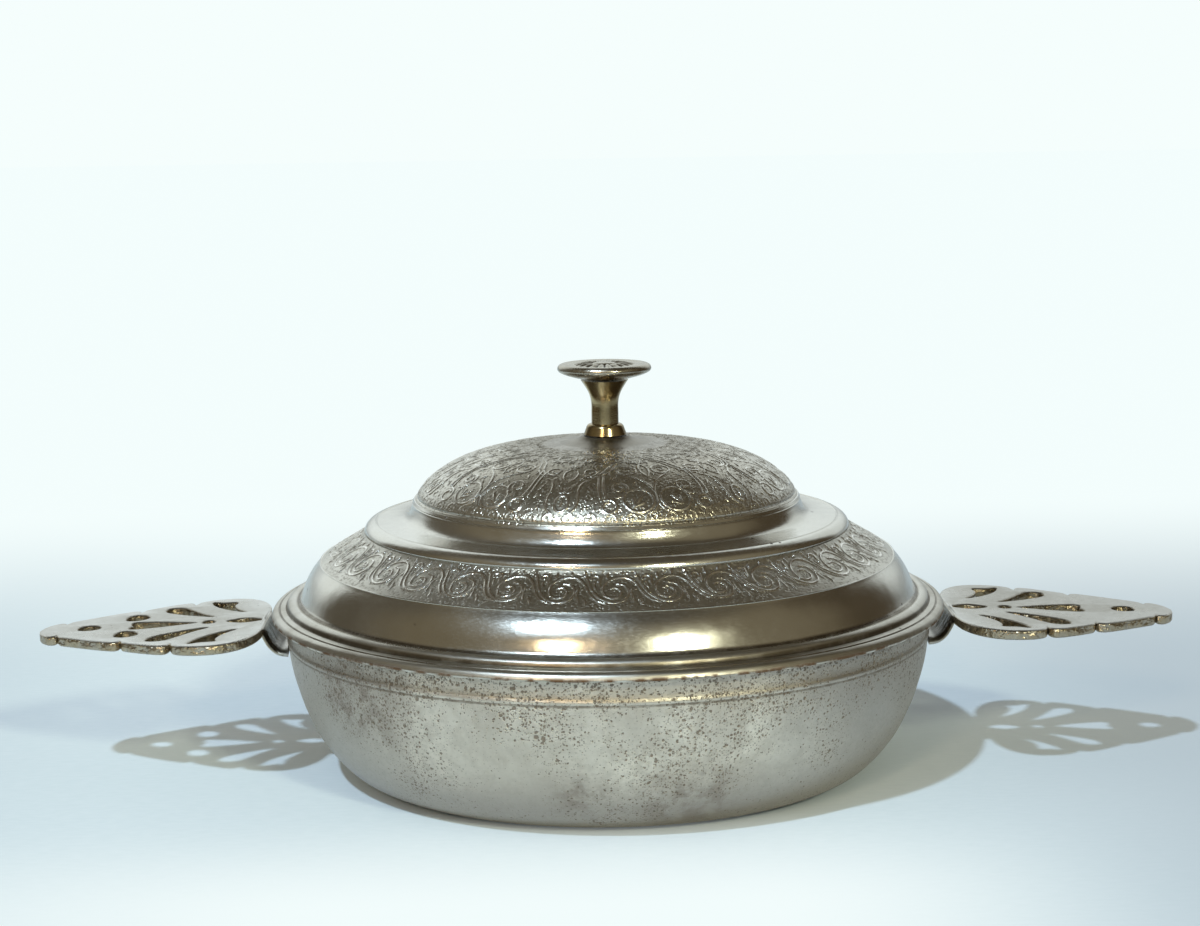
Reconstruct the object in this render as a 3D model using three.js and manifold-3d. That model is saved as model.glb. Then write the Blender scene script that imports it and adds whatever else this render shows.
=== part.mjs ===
// Covered pewter bowl with two pierced ears and a stepped lid with a knob
// Millimetres, +Z up, the ears along X, the bowl's foot on z = 0

import * as THREE from 'three';
import { mergeVertices } from 'three/addons/utils/BufferGeometryUtils.js';
import Module from 'manifold-3d';

const wasm = await Module();
wasm.setup();

// Bowl
const bowlRimRadius = 85.3;
const bowlHeight = 42.6;
const bowlFootRadius = 60;
const bowlWall = 2.2;
const bowlLineBelowRim = 5.7;
const bowlLineStep = 0.5;
const bowlLineWidth = 1.2;

// Ears
const earStandOff = 5.9;
const earLength = 61.1;
const earHalfWidth = 30;
const earThickness = 2.6;
const earBelowRim = 2;
const earDroopDegrees = 2;
const lugHalfWidth = 12;
const lugDrop = 5.4;
const lugThickness = 2.3;

// Lid: an inset is a distance in from the rim, and a height counts from the seat
const lidOverhang = 4.2;
const lidBeadInset = 4.1;
const lidBeadFootHeight = 2.85;
const lidBandFootInset = 7.5;
const lidBandFootHeight = 4.4;
const lidShoulderInset = 13.1;
const lidShoulderHeight = 13.9;
const lidFlangeInset = 25.1;
const lidFlangeHeight = 21.75;
const lidCrownInset = 28.3;
const lidCrownHeight = 24.35;
const lidDomeFootInset = 38.6;
const lidDomeFootHeight = 29.8;
const lidDomeHeight = 43.9;
const lidPatchRadius = 12;
const lidMoundRadius = 6.2;
const lidMoundRise = 1.9;
const lidWall = 2;
const lidSeatWidth = 9.3;

// Bezel under the lid
const bezelPlay = 0.5;
const bezelWall = 1.5;
const bezelDepth = 4.2;

// Knob
const stemWaistRadius = 3.6;
const stemTopRadius = 5.8;
const stemHeight = 14.5;
const collarRadius = 5.7;
const collarHeight = 2.85;
const capRadius = 12.45;
const capThickness = 4;
const capBossRadius = 3.2;
const capBossRise = 0.5;
const studRadius = 2;
const studTail = 0.8;
const washerRadius = 6;
const washerThickness = 1;
const nutAcrossFlats = 7.5;
const nutThickness = 3;

// Clearances
const seatGap = 0.3;
const boreGap = 0.3;

// Facets
const turnSteps = 64;
const smallTurnSteps = 32;
const lobeSteps = 2;
const holeSteps = 22;

// Outline tables, hand-chosen shares of the sizes named beside each

// Bowl wall from foot to rim: radius from foot to rim radius, height of the bowl
const bowlWallShares = [
  [0.134, 0.007], [0.213, 0.018], [0.289, 0.032], [0.407, 0.071], [0.51, 0.128], [0.613, 0.199],
  [0.711, 0.282], [0.79, 0.376], [0.858, 0.47], [0.908, 0.563], [0.953, 0.657], [0.984, 0.75],
];

// Lid's rounded rim, from the bottom of its edge in to the foot of the bead
const rimShares = [[0.05, 0], [0, 0.12], [0.04, 0.28], [0.15, 0.56], [0.27, 0.68], [0.88, 0.965]];

// Bead inside the rim, from its foot to the foot of the plain band
const beadShares = [[0.088, 0.484], [0.235, 0.806], [0.44, 1], [0.65, 1.03], [0.853, 0.97]];

// Plain band of the lid, from its foot up to the shoulder: radius and height between the two
const bandShares = [[0.07, 0.07], [0.17, 0.2], [0.29, 0.36], [0.43, 0.53], [0.61, 0.71], [0.82, 0.88]];

// Engraved band, from shoulder to flange, gently convex
const engravedBandShares = [[0.16, 0.16], [0.36, 0.34], [0.56, 0.515], [0.76, 0.7], [0.92, 0.87]];

// Rounded edge of the flange, from its foot over to its crown
const rollShares = [[0.02, 0.25], [0.12, 0.5], [0.36, 0.78], [0.68, 0.95]];

// Plain cove, from the flange's crown in to the dome's foot
const coveShares = [
  [0.214, 0.01], [0.447, 0.04], [0.64, 0.09], [0.777, 0.175], [0.854, 0.34], [0.903, 0.55], [0.942, 0.76],
];

// Dome, from its foot to the patch: radius and height between the two
const domeShares = [
  [0.012, 0.06], [0.04, 0.18], [0.09, 0.33], [0.165, 0.49], [0.27, 0.65], [0.4, 0.785],
  [0.56, 0.89], [0.76, 0.96], [0.92, 0.99],
];

// Low mound from the patch's edge up to the stem's collar
const moundShares = [[0.034, 0.105], [0.345, 0.237], [0.655, 0.447], [0.879, 0.71]];

// Collar's rounded shoulder, from the collar's foot in to the waist
const collarShares = [[0.02, 0.35], [0.12, 0.67], [0.286, 0.86], [0.52, 0.965], [0.76, 1]];

// Stem above its collar: share from waist to top radius, share of the height above the collar
const stemShares = [[0, 0.03], [0, 0.25], [0, 0.476], [0.114, 0.625], [0.355, 0.762], [0.714, 0.9]];

// Cap of the knob, from the stem's top out round its edge and in over its top: radius and thickness
const capShares = [
  [0.602, 0.1], [0.763, 0.24], [0.908, 0.4], [0.98, 0.54], [1, 0.675], [0.992, 0.81], [0.964, 0.925],
  [0.916, 1], [0.855, 1], [0.8, 0.965], [0.66, 1], [0.5, 0.985], [0.36, 0.93], [0.28, 0.93],
];

// Half outline of an ear from its neck to its tip: share of its length, share of its half width
const earLobeShares = [
  [
    [0.005, 0.43], [0.02, 0.62], [0.055, 0.8], [0.11, 0.93], [0.175, 0.995],
    [0.24, 1], [0.3, 0.975], [0.34, 0.93], [0.36, 0.885], [0.365, 0.84],
  ],
  [
    [0.372, 0.8], [0.376, 0.85], [0.395, 0.895], [0.43, 0.88], [0.48, 0.825],
    [0.53, 0.76], [0.57, 0.7], [0.588, 0.665], [0.593, 0.62],
  ],
  [
    [0.6, 0.59], [0.606, 0.635], [0.63, 0.65], [0.67, 0.615], [0.73, 0.54],
    [0.79, 0.455], [0.85, 0.37], [0.885, 0.315], [0.895, 0.27],
  ],
  [[0.902, 0.235], [0.908, 0.27], [0.935, 0.275], [0.965, 0.215], [0.988, 0.12], [1, 0]],
];

// Holes on an ear's middle line: half outlines, mirrored about it
const earMiddleHoleShares = [
  [[0.02, 0], [0.055, 0.06], [0.1, 0.09], [0.145, 0.06], [0.18, 0]],
  [[0.23, 0], [0.242, 0.05], [0.262, 0.06], [0.28, 0.04], [0.288, 0]],
  [
    [0.315, 0], [0.345, 0.025], [0.395, 0.06], [0.455, 0.1], [0.52, 0.13],
    [0.57, 0.145], [0.6, 0.12], [0.6, 0.055], [0.588, 0],
  ],
  [[0.733, 0], [0.745, 0.068], [0.782, 0.098], [0.82, 0.068], [0.832, 0]],
];

// Holes beside the middle line, one on each side
const earSideHoleShares = [
  [
    [0.12, 0.37], [0.15, 0.47], [0.177, 0.59], [0.188, 0.7], [0.182, 0.81], [0.24, 0.82],
    [0.293, 0.86], [0.284, 0.76], [0.255, 0.64], [0.215, 0.53], [0.165, 0.43],
  ],
  [
    [0.25, 0.225], [0.297, 0.345], [0.338, 0.465], [0.375, 0.585], [0.41, 0.67], [0.45, 0.69],
    [0.482, 0.66], [0.489, 0.595], [0.478, 0.53], [0.448, 0.46], [0.4, 0.385], [0.345, 0.31], [0.297, 0.26],
  ],
];

// The two small holes that only the left ear has
const earExtraHoleShares = [[
  [0.545, 0.35], [0.565, 0.43], [0.605, 0.455], [0.64, 0.4], [0.645, 0.3], [0.62, 0.22], [0.58, 0.225], [0.555, 0.275],
]];

// Lug seen from the side: share of the way in from the ear to the wall, share of its drop
const lugPathShares = [[-0.25, 0], [0, 0.02], [0.16, 0.16], [0.3, 0.42], [0.5, 0.72], [0.74, 0.92], [1.12, 1]];

// Heights and radii that follow from the sizes above
const bowlLineHeight = bowlHeight - bowlLineBelowRim;
const earRootRadius = bowlRimRadius + earStandOff;
const earTopHeight = bowlHeight - earBelowRim;
const lidRimRadius = bowlRimRadius + lidOverhang;
const lidBeadRadius = lidRimRadius - lidBeadInset;
const lidBandFootRadius = lidRimRadius - lidBandFootInset;
const lidShoulderRadius = lidRimRadius - lidShoulderInset;
const lidFlangeRadius = lidRimRadius - lidFlangeInset;
const lidCrownRadius = lidRimRadius - lidCrownInset;
const lidDomeFootRadius = lidRimRadius - lidDomeFootInset;
const lidSeat = bowlHeight + seatGap;
const lidDomeTop = lidSeat + lidDomeHeight;
const moundTop = lidDomeTop + lidMoundRise;
const domeCeiling = lidDomeTop - lidWall;
const stemFoot = moundTop + seatGap;
const stemTop = stemFoot + stemHeight;
const capFoot = stemTop + seatGap;
const washerTop = domeCeiling - seatGap;
const nutTop = washerTop - washerThickness - seatGap;
const studFoot = nutTop - nutThickness - studTail;
const bowlBoreRadius = bowlRimRadius - bowlWall;

// Closed solid turned about Z from a profile that runs anticlockwise in (radius, height)
function turned(profile, steps) {
  const points = [];
  const rings = profile.map(([radius, height]) => {
    const first = points.length / 3;
    if (radius === 0) {
      points.push(0, 0, height);
      return Array(steps).fill(first);
    }
    for (let i = 0; i < steps; i += 1) {
      const angle = (2 * Math.PI * i) / steps;
      points.push(radius * Math.cos(angle), radius * Math.sin(angle), height);
    }
    return Array.from({ length: steps }, (_, i) => first + i);
  });
  const faces = [];
  rings.forEach((ring, k) => {
    const next = rings[(k + 1) % rings.length];
    for (let i = 0; i < steps; i += 1) {
      const j = (i + 1) % steps;
      if (ring[i] !== ring[j]) faces.push(ring[i], ring[j], next[j]);
      if (next[i] !== next[j]) faces.push(ring[i], next[j], next[i]);
    }
  });
  const geometry = new THREE.BufferGeometry();
  geometry.setAttribute('position', new THREE.Float32BufferAttribute(points, 3));
  geometry.setIndex(faces);
  return geometry;
}

// Every second point of a profile, for the faces that don't show
function thinned(profile) {
  return profile.filter((_, i) => i % 2 === 0);
}

// Points between two ends, placed by a table of shares
function between(from, to, shares) {
  return shares.map(([a, b]) => [from[0] + (to[0] - from[0]) * a, from[1] + (to[1] - from[1]) * b]);
}

// Profile moved sideways by a distance, to the left of its direction when positive
function offset(profile, distance) {
  return profile.map((point, i) => {
    const before = profile[Math.max(i - 1, 0)];
    const after = profile[Math.min(i + 1, profile.length - 1)];
    const along = new THREE.Vector2(after[0] - before[0], after[1] - before[1]).normalize();
    return [point[0] - along.y * distance, point[1] + along.x * distance];
  });
}

// Geometry turned into a solid for cutting and joining, and back
function toSolid(geometry) {
  const bare = new THREE.BufferGeometry();
  bare.setAttribute('position', geometry.getAttribute('position'));
  if (geometry.index) bare.setIndex(geometry.index);
  const joined = mergeVertices(bare, seatGap / turnSteps);
  return new wasm.Manifold(new wasm.Mesh({
    numProp: 3,
    vertProperties: new Float32Array(joined.getAttribute('position').array),
    triVerts: new Uint32Array(joined.index.array),
  }));
}

function toGeometry(solid) {
  const mesh = solid.getMesh();
  const geometry = new THREE.BufferGeometry();
  geometry.setAttribute('position', new THREE.Float32BufferAttribute(mesh.vertProperties, 3));
  geometry.setIndex(Array.from(mesh.triVerts));
  return geometry;
}

// Smooth curve through points in the plane, open or closed
function smooth(points, steps, closed) {
  const curve = new THREE.CatmullRomCurve3(
    points.map(([x, y]) => new THREE.Vector3(x, y, 0)),
    closed,
    'centripetal',
  );
  return curve.getPoints(steps).map((p) => new THREE.Vector2(p.x, p.y));
}

// Bowl: outer wall from the foot to the rim, then the inside back down to the middle
const bowlFoot = [bowlFootRadius, 0];
const bowlRim = [bowlRimRadius, bowlHeight];
const bowlSide = [bowlFoot, ...between(bowlFoot, bowlRim, bowlWallShares)];
const bowlUpper = [
  [bowlRimRadius, bowlLineHeight - bowlLineWidth],
  [bowlRimRadius + bowlLineStep, bowlLineHeight],
];
const bowlOuter = [...bowlSide, ...bowlUpper, [bowlRimRadius, bowlLineHeight + bowlLineWidth / 2], bowlRim];
const bowlInner = thinned(offset(bowlSide.slice(1), bowlWall)).filter((point) => point[1] > bowlWall);
const bowlProfile = [
  [0, 0],
  ...bowlOuter,
  [bowlBoreRadius, bowlHeight],
  ...bowlInner.reverse(),
  [bowlFootRadius, bowlWall],
  [0, bowlWall],
];

// Ear: a pierced lobed plate that droops a little, and a lug that curls down to the wall
function earShape(holesOnBothSides) {
  const place = ([u, v], side) => [earRootRadius + u * earLength, side * v * earHalfWidth];
  const half = earLobeShares.flatMap((lobe) => (
    smooth(lobe.map((share) => place(share, -1)), lobe.length * lobeSteps, false)
  ));
  const mirrored = half.slice(0, -1).reverse().map((p) => new THREE.Vector2(p.x, -p.y));
  const shape = new THREE.Shape([...half, ...mirrored]);
  earMiddleHoleShares.forEach((hole) => {
    const upper = hole.map((share) => place(share, 1));
    const lower = hole.slice(1, -1).reverse().map((share) => place(share, -1));
    shape.holes.push(new THREE.Path(smooth([...upper, ...lower], holeSteps, true).slice(0, -1)));
  });
  holesOnBothSides.forEach((hole) => {
    [1, -1].forEach((side) => {
      const points = hole.map((share) => place(share, side));
      shape.holes.push(new THREE.Path(smooth(points, holeSteps, true).slice(0, -1)));
    });
  });
  return shape;
}

// Lug: a bent strip drawn from the side and as wide as the neck
function lugGeometry() {
  const start = [earRootRadius, earTopHeight];
  const end = [bowlRimRadius, earTopHeight - lugDrop];
  const top = smooth(between(start, end, lugPathShares), lugPathShares.length * 2, false).map((p) => [p.x, p.y]);
  const outline = [...top, ...offset(top, lugThickness).reverse()];
  const geometry = new THREE.ExtrudeGeometry(
    new THREE.Shape(outline.map(([x, z]) => new THREE.Vector2(x, z))),
    { depth: 2 * lugHalfWidth, bevelEnabled: false, steps: 1 },
  );
  geometry.translate(0, 0, -lugHalfWidth);
  geometry.rotateX(Math.PI / 2);
  return geometry;
}

// The bowl's outside grown by the seam, which the lug's end is cut to
const seamCutter = toSolid(turned([[0, 0], ...offset(bowlOuter, -seatGap), [0, bowlHeight]], turnSteps));

function ear(side, holes) {
  const plate = new THREE.ExtrudeGeometry(earShape(holes), { depth: earThickness, bevelEnabled: false, steps: 1 });
  plate.translate(-earRootRadius, 0, -earThickness);
  plate.rotateY(THREE.MathUtils.degToRad(earDroopDegrees));
  plate.translate(earRootRadius, 0, earTopHeight);
  const solid = toSolid(plate).add(toSolid(lugGeometry())).subtract(seamCutter);
  const geometry = toGeometry(solid);
  if (side < 0) geometry.rotateZ(Math.PI);
  return geometry;
}

// Lid: outer face from the rim up to the patch, then the hollow underside back down
const lidAt = (radius, rise) => [radius, lidSeat + rise];
const rimBottom = lidAt(lidRimRadius, 0);
const beadFoot = lidAt(lidBeadRadius, lidBeadFootHeight);
const bandFoot = lidAt(lidBandFootRadius, lidBandFootHeight);
const shoulder = lidAt(lidShoulderRadius, lidShoulderHeight);
const flangeFoot = lidAt(lidFlangeRadius, lidFlangeHeight);
const crown = lidAt(lidCrownRadius, lidCrownHeight);
const domeFoot = lidAt(lidDomeFootRadius, lidDomeFootHeight);
const patchEdge = [lidPatchRadius, lidDomeTop];
const moundEdge = [lidMoundRadius, moundTop];
const bandFace = between(bandFoot, shoulder, bandShares);
const engravedFace = between(shoulder, flangeFoot, engravedBandShares);
const rollFace = between(flangeFoot, crown, rollShares);
const coveFace = between(crown, domeFoot, coveShares);
const domeFace = between(domeFoot, patchEdge, domeShares);
const lidOuter = [
  ...between(rimBottom, beadFoot, rimShares),
  beadFoot,
  ...between(beadFoot, bandFoot, beadShares),
  bandFoot,
  ...bandFace,
  shoulder,
  ...engravedFace,
  flangeFoot,
  ...rollFace,
  crown,
  ...coveFace,
  domeFoot,
  ...domeFace,
  patchEdge,
  ...between(patchEdge, moundEdge, moundShares),
  moundEdge,
];
const lidCore = [bandFoot, ...bandFace, shoulder, ...engravedFace, crown, ...coveFace, domeFoot, ...domeFace];
const lidUnder = thinned(offset(lidCore, lidWall)).filter((point) => point[1] < domeCeiling);
const studBore = studRadius + boreGap;
const lidProfile = [
  ...lidOuter,
  [studBore, moundTop],
  [studBore, domeCeiling],
  [lidPatchRadius, domeCeiling],
  ...lidUnder.reverse(),
  lidAt(lidRimRadius - lidSeatWidth, lidWall),
  lidAt(lidRimRadius - lidSeatWidth, 0),
];

// Bezel: the ring that drops inside the bowl's rim
const bezelOuter = bowlBoreRadius - bezelPlay;
const bezelInner = bezelOuter - bezelWall;
const bezelTop = lidSeat - seatGap;
const bezelProfile = [
  [bezelInner, bezelTop - bezelDepth],
  [bezelOuter - bezelWall / 3, bezelTop - bezelDepth],
  [bezelOuter, bezelTop - bezelDepth + bezelWall / 2],
  [bezelOuter, bezelTop],
  [bezelInner, bezelTop],
];

// Stem: threaded stud, collar, waist and flare
const collarTop = stemFoot + collarHeight;
const stemProfile = [
  [0, studFoot],
  [studRadius, studFoot],
  [studRadius, stemFoot],
  [collarRadius, stemFoot],
  ...between([collarRadius, stemFoot], [stemWaistRadius, collarTop], collarShares),
  ...between([stemWaistRadius, collarTop], [stemTopRadius, stemTop], stemShares),
  [stemTopRadius, stemTop],
  [0, stemTop],
];

// Cap: a shallow cone below, a rounded edge, a ring and a boss on top
const capProfile = [
  [0, capFoot],
  [stemTopRadius, capFoot],
  ...capShares.map(([a, b]) => [capRadius * a, capFoot + capThickness * b]),
  [capBossRadius, capFoot + capThickness],
  [capBossRadius / 2, capFoot + capThickness + capBossRise],
  [0, capFoot + capThickness + capBossRise],
];

const washerProfile = [
  [studBore, washerTop - washerThickness],
  [washerRadius, washerTop - washerThickness],
  [washerRadius, washerTop],
  [studBore, washerTop],
];

// Nut: a hexagon with a round bore
function nut() {
  const corner = nutAcrossFlats / Math.sqrt(3);
  const corners = Array.from({ length: 6 }, (_, i) => (i * Math.PI) / 3);
  const shape = new THREE.Shape(corners.map((a) => new THREE.Vector2(corner * Math.cos(a), corner * Math.sin(a))));
  const bore = new THREE.Path();
  bore.absarc(0, 0, studBore, 0, 2 * Math.PI, true);
  shape.holes.push(bore);
  const geometry = new THREE.ExtrudeGeometry(shape, { depth: nutThickness, bevelEnabled: false, curveSegments: 8 });
  geometry.translate(0, 0, nutTop - nutThickness);
  return toGeometry(toSolid(geometry));
}

const group = new THREE.Group();
group.name = 'covered_bowl';

function addPiece(name, geometry, color, roughness) {
  geometry.computeVertexNormals();
  const material = new THREE.MeshStandardMaterial({ color, roughness, metalness: 1 });
  const mesh = new THREE.Mesh(geometry, material);
  mesh.name = name;
  group.add(mesh);
}

addPiece('bowl', turned(bowlProfile, turnSteps), 0xa9a7a1, 0.6);
addPiece('ear_left', ear(-1, [...earSideHoleShares, ...earExtraHoleShares]), 0xb7b5ae, 0.45);
addPiece('ear_right', ear(1, earSideHoleShares), 0xb3b1aa, 0.45);
addPiece('lid_shell', turned(lidProfile, turnSteps), 0xb9b7b1, 0.25);
addPiece('lid_bezel', turned(bezelProfile, turnSteps), 0xa5a39d, 0.5);
addPiece('knob_stem', turned(stemProfile, smallTurnSteps), 0xa8905c, 0.3);
addPiece('knob_cap', turned(capProfile, smallTurnSteps), 0xa8a59c, 0.35);
addPiece('knob_washer', turned(washerProfile, smallTurnSteps), 0x9c9a94, 0.5);
addPiece('knob_nut', nut(), 0x9a8a62, 0.5);

export default group;
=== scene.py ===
"""Looks of a covered pewter bowl: turned lid with scrollwork, pitted bowl, two pierced ears and a knob.

Lengths are written in millimetres, as a turner would, and become metres in meshes and materials.
The depth of a bump is in metres, though, and the scale of a pattern is the count to a metre.
Every surface is a grid worked out as whole arrays, or a flat outline given a rounded edge.
"""

import math

import bpy
import numpy as np
from mathutils import Matrix


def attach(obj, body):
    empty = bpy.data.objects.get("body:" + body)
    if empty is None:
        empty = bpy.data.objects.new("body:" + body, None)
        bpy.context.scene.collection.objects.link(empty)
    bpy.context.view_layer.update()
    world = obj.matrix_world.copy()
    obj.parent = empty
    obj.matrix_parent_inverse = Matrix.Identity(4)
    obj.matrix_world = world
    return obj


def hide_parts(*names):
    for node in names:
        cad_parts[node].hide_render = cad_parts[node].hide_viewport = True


MM = 0.001

# Angles in degrees from which an edge is drawn sharp
CREASE = 32
EAR_CREASE = 38
LUG_CREASE = 45
BAND_CREASE = 48
DOME_CREASE = 50
CAP_CREASE = 60

# Bowl
BOWL_RIM_RADIUS = 85.3
BOWL_HEIGHT = 42.6
BOWL_FOOT_RADIUS = 60.0
BOWL_WALL = 2.2
BOWL_LINE_BELOW_RIM = 5.7
BOWL_SIDE_TOP = (85.28, 35.4)
BOWL_FLOOR_RING = 30.0
BOWL_COLUMNS = 256
BOWL_WALL_SHARES = [
    (0.134, 0.007), (0.213, 0.018), (0.289, 0.032), (0.407, 0.071), (0.51, 0.128), (0.613, 0.199),
    (0.711, 0.282), (0.79, 0.376), (0.858, 0.47), (0.908, 0.563), (0.953, 0.657), (0.984, 0.75),
]
# The raised line and the lip as steps out from the wall and up, from the line's and the rim's height
BOWL_LINE_STEPS = [(0, -0.75), (0.22, -0.5), (0.34, -0.1), (0.3, 0.25), (0.12, 0.65), (0, 0.95), (0, 2.4)]
BOWL_LIP_STEPS = [(0, -0.35), (-0.3, 0), (-1.9, 0), (-2.2, -0.35)]

# Ears
EAR_ROOT_RADIUS = 91.2
EAR_LENGTH = 61.1
EAR_HALF_WIDTH = 30.0
EAR_THICKNESS = 2.6
EAR_TOP_HEIGHT = 40.6
EAR_DROOP_DEGREES = 2.0
EAR_EDGE_ROUND = 0.6
EAR_OUTLINE_SPACING = 0.9
EAR_HOLE_SPACING = 0.6
EAR_RECESS_REACH = 2.0
LUG_HALF_WIDTH = 12.0
LUG_DROP = 6.2
LUG_HOLLOW = 1.1
LUG_SEAM = 0.3
LUG_THICKNESS = 2.3
LUG_COLUMNS = 33
EAR_LOBE_SHARES = [
    [(0.005, 0.43), (0.02, 0.62), (0.055, 0.8), (0.11, 0.93), (0.175, 0.995),
     (0.24, 1), (0.3, 0.975), (0.34, 0.93), (0.36, 0.885), (0.365, 0.84)],
    [(0.372, 0.8), (0.376, 0.85), (0.395, 0.895), (0.43, 0.88), (0.48, 0.825),
     (0.53, 0.76), (0.57, 0.7), (0.588, 0.665), (0.593, 0.62)],
    [(0.6, 0.59), (0.606, 0.635), (0.63, 0.65), (0.67, 0.615), (0.73, 0.54),
     (0.79, 0.455), (0.85, 0.37), (0.885, 0.315), (0.895, 0.27)],
    [(0.902, 0.235), (0.908, 0.27), (0.935, 0.275), (0.965, 0.215), (0.988, 0.12), (1, 0)],
]
EAR_MIDDLE_HOLE_SHARES = [
    [(0.02, 0), (0.055, 0.06), (0.1, 0.09), (0.145, 0.06), (0.18, 0)],
    [(0.23, 0), (0.242, 0.05), (0.262, 0.06), (0.28, 0.04), (0.288, 0)],
    [(0.315, 0), (0.345, 0.025), (0.395, 0.06), (0.455, 0.1), (0.52, 0.13),
     (0.57, 0.145), (0.6, 0.12), (0.6, 0.055), (0.588, 0)],
    [(0.733, 0), (0.745, 0.068), (0.782, 0.098), (0.82, 0.068), (0.832, 0)],
]
EAR_SIDE_HOLE_SHARES = [
    [(0.12, 0.37), (0.15, 0.47), (0.177, 0.59), (0.188, 0.7), (0.182, 0.81), (0.24, 0.82),
     (0.293, 0.86), (0.284, 0.76), (0.255, 0.64), (0.215, 0.53), (0.165, 0.43)],
    [(0.25, 0.225), (0.297, 0.345), (0.338, 0.465), (0.375, 0.585), (0.41, 0.67), (0.45, 0.69),
     (0.482, 0.66), (0.489, 0.595), (0.478, 0.53), (0.448, 0.46), (0.4, 0.385), (0.345, 0.31), (0.297, 0.26)],
]
EAR_EXTRA_HOLE_SHARES = [
    [(0.545, 0.35), (0.565, 0.43), (0.605, 0.455), (0.64, 0.4), (0.645, 0.3), (0.62, 0.22),
     (0.58, 0.225), (0.555, 0.275)],
]
LUG_PATH_SHARES = [(-0.25, 0), (0, 0.02), (0.16, 0.16), (0.3, 0.42), (0.5, 0.72), (0.74, 0.92), (1.12, 1)]

# Lid, heights above its seat
LID_SEAT = 42.9
LID_COLUMNS = 288
PATCH_COLUMNS = 128
LID_RIM_PROFILE = [
    (89.3, 0.0), (89.5, 0.35), (89.35, 0.85), (88.9, 1.6), (88.3, 2.0), (87.75, 2.14),
    (87.5, 2.0), (87.3, 2.04), (87.15, 2.26), (86.4, 2.42), (85.75, 2.55),
]
LID_RIM_GROOVE = [(85.52, 2.45), (85.42, 2.55)]
LID_BEAD_PROFILE = [(85.38, 2.9), (85.1, 3.6), (84.6, 4.1), (83.9, 4.4), (83.2, 4.45), (82.6, 4.2)]
LID_SEAT_EDGE = [(80.2, 2.0), (80.2, 0.0)]
LID_BAND_FOOT = (82.0, 4.4)
LID_SHOULDER = (76.4, 13.9)
LID_FLANGE = (64.4, 21.75)
LID_CROWN = (61.2, 24.35)
LID_DOME_FOOT = (50.9, 29.8)
LID_PATCH_EDGE = (12.0, 43.9)
LID_PLAIN_RADIUS = 15.5
LID_MOUND_EDGE = (6.2, 45.8)
LID_WALL = 2.0
STUD_BORE_RADIUS = 2.3
# Fine turned lines as steps from the shoulder, the flange, the crown and the dome's foot
SHOULDER_STEPS = [(0.05, 0.0), (0.12, 0.16), (-0.1, 0.3), (-0.35, 0.2), (-0.6, -0.4), (-0.6, -LID_WALL)]
FLANGE_STEPS = [(-0.1, 0.02), (-0.5, 0.12), (-0.5, 0.4), (0.0, 0.5)]
CROWN_STEPS = [(0.22, 0.05), (0.05, 0.17), (-0.12, 0.12), (-0.3, -0.05), (-0.3, -LID_WALL)]
COVE_START_STEPS = [(-0.3, -0.35), (-0.15, -0.02)]
DOME_FOOT_STEPS = [(0.62, -0.95), (0.42, -0.75), (0.62, -0.5), (0.25, 0.1), (-0.4, 0.2), (-LID_WALL, -0.3)]
BAND_SHARES = [(0.07, 0.085), (0.163, 0.216), (0.275, 0.382), (0.415, 0.548), (0.603, 0.725), (0.82, 0.885)]
ENGRAVED_BAND_SHARES = [(0.16, 0.16), (0.36, 0.34), (0.56, 0.515), (0.76, 0.7), (0.92, 0.87)]
ROLL_SHARES = [(0.02, 0.25), (0.12, 0.5), (0.36, 0.78), (0.68, 0.95)]
COVE_SHARES = [
    (0.214, 0.01), (0.447, 0.04), (0.62, 0.09), (0.735, 0.165), (0.81, 0.30), (0.868, 0.48), (0.912, 0.67),
]
DOME_SHARES = [
    (0.012, 0.06), (0.04, 0.18), (0.09, 0.33), (0.165, 0.49), (0.27, 0.65), (0.4, 0.785),
    (0.56, 0.89), (0.76, 0.96), (0.92, 0.99),
]
MOUND_SHARES = [(0.12, 0.03), (0.345, 0.16), (0.655, 0.42), (0.879, 0.71)]

# Scrollwork
RELIEF = 0.21
TURNED_LINE_DEPTH = 0.28
DOME_SECTORS = 6
DOME_TURN = 15
DOME_TOP_SINK = 0.5
# Rows up from the dome's foot at which its turned line runs and its relief starts
DOME_LINE_ROW = 4.0
DOME_RELIEF_ROW = 5
DOME_RINGS = [(0.0, 0.24, 1536), (0.24, 0.49, 1536), (0.49, 0.75, 1152), (0.75, 1.0, 768)]
BAND_UNITS = 34
BAND_COLUMNS_PER_UNIT = 60
ARCHES = 5
LEAF_WIDTHS = [0.18, 0.55, 0.9, 1.0, 0.7, 0.3]
POINTS_AT_ONCE = 4000

# Knob
STEM_FOOT = 89.0
STEM_HEIGHT = 14.5
STEM_WAIST_RADIUS = 3.6
STEM_TOP_RADIUS = 6.3
COLLAR_RADIUS = 5.7
COLLAR_HEIGHT = 2.85
STUD_RADIUS = 2.0
STUD_FOOT = 79.4
CAP_FOOT = 103.8
CAP_HEIGHT = 4.5
CAP_UNDER = [(5.8, 0.0), (7.5, 0.4), (9.5, 0.95), (11.3, 1.6), (12.15, 2.1)]
CAP_EDGE = [(12.38, 2.42), (12.45, 2.7), (12.35, 3.25), (12.0, 3.7), (11.4, 4.0)]
CAP_TOP = [
    (11.0, 4.03), (10.4, 3.98), (9.6, 3.84), (8.4, 3.82), (7.4, 3.86), (6.6, 4.0), (5.2, 4.16),
    (4.0, 4.02), (3.5, 3.86),
]
CAP_BOSS = [(3.25, 3.95), (2.7, 4.26), (1.6, 4.44), (0.4, 4.5)]
CAP_COLUMNS = 480
PETALS = 20
PETAL_RADIUS = 5.6
PETAL_REACH = 2.4
PETAL_RELIEF = 0.65
PETAL_FLOOR = 0.7
STEM_COLUMNS = 96
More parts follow.
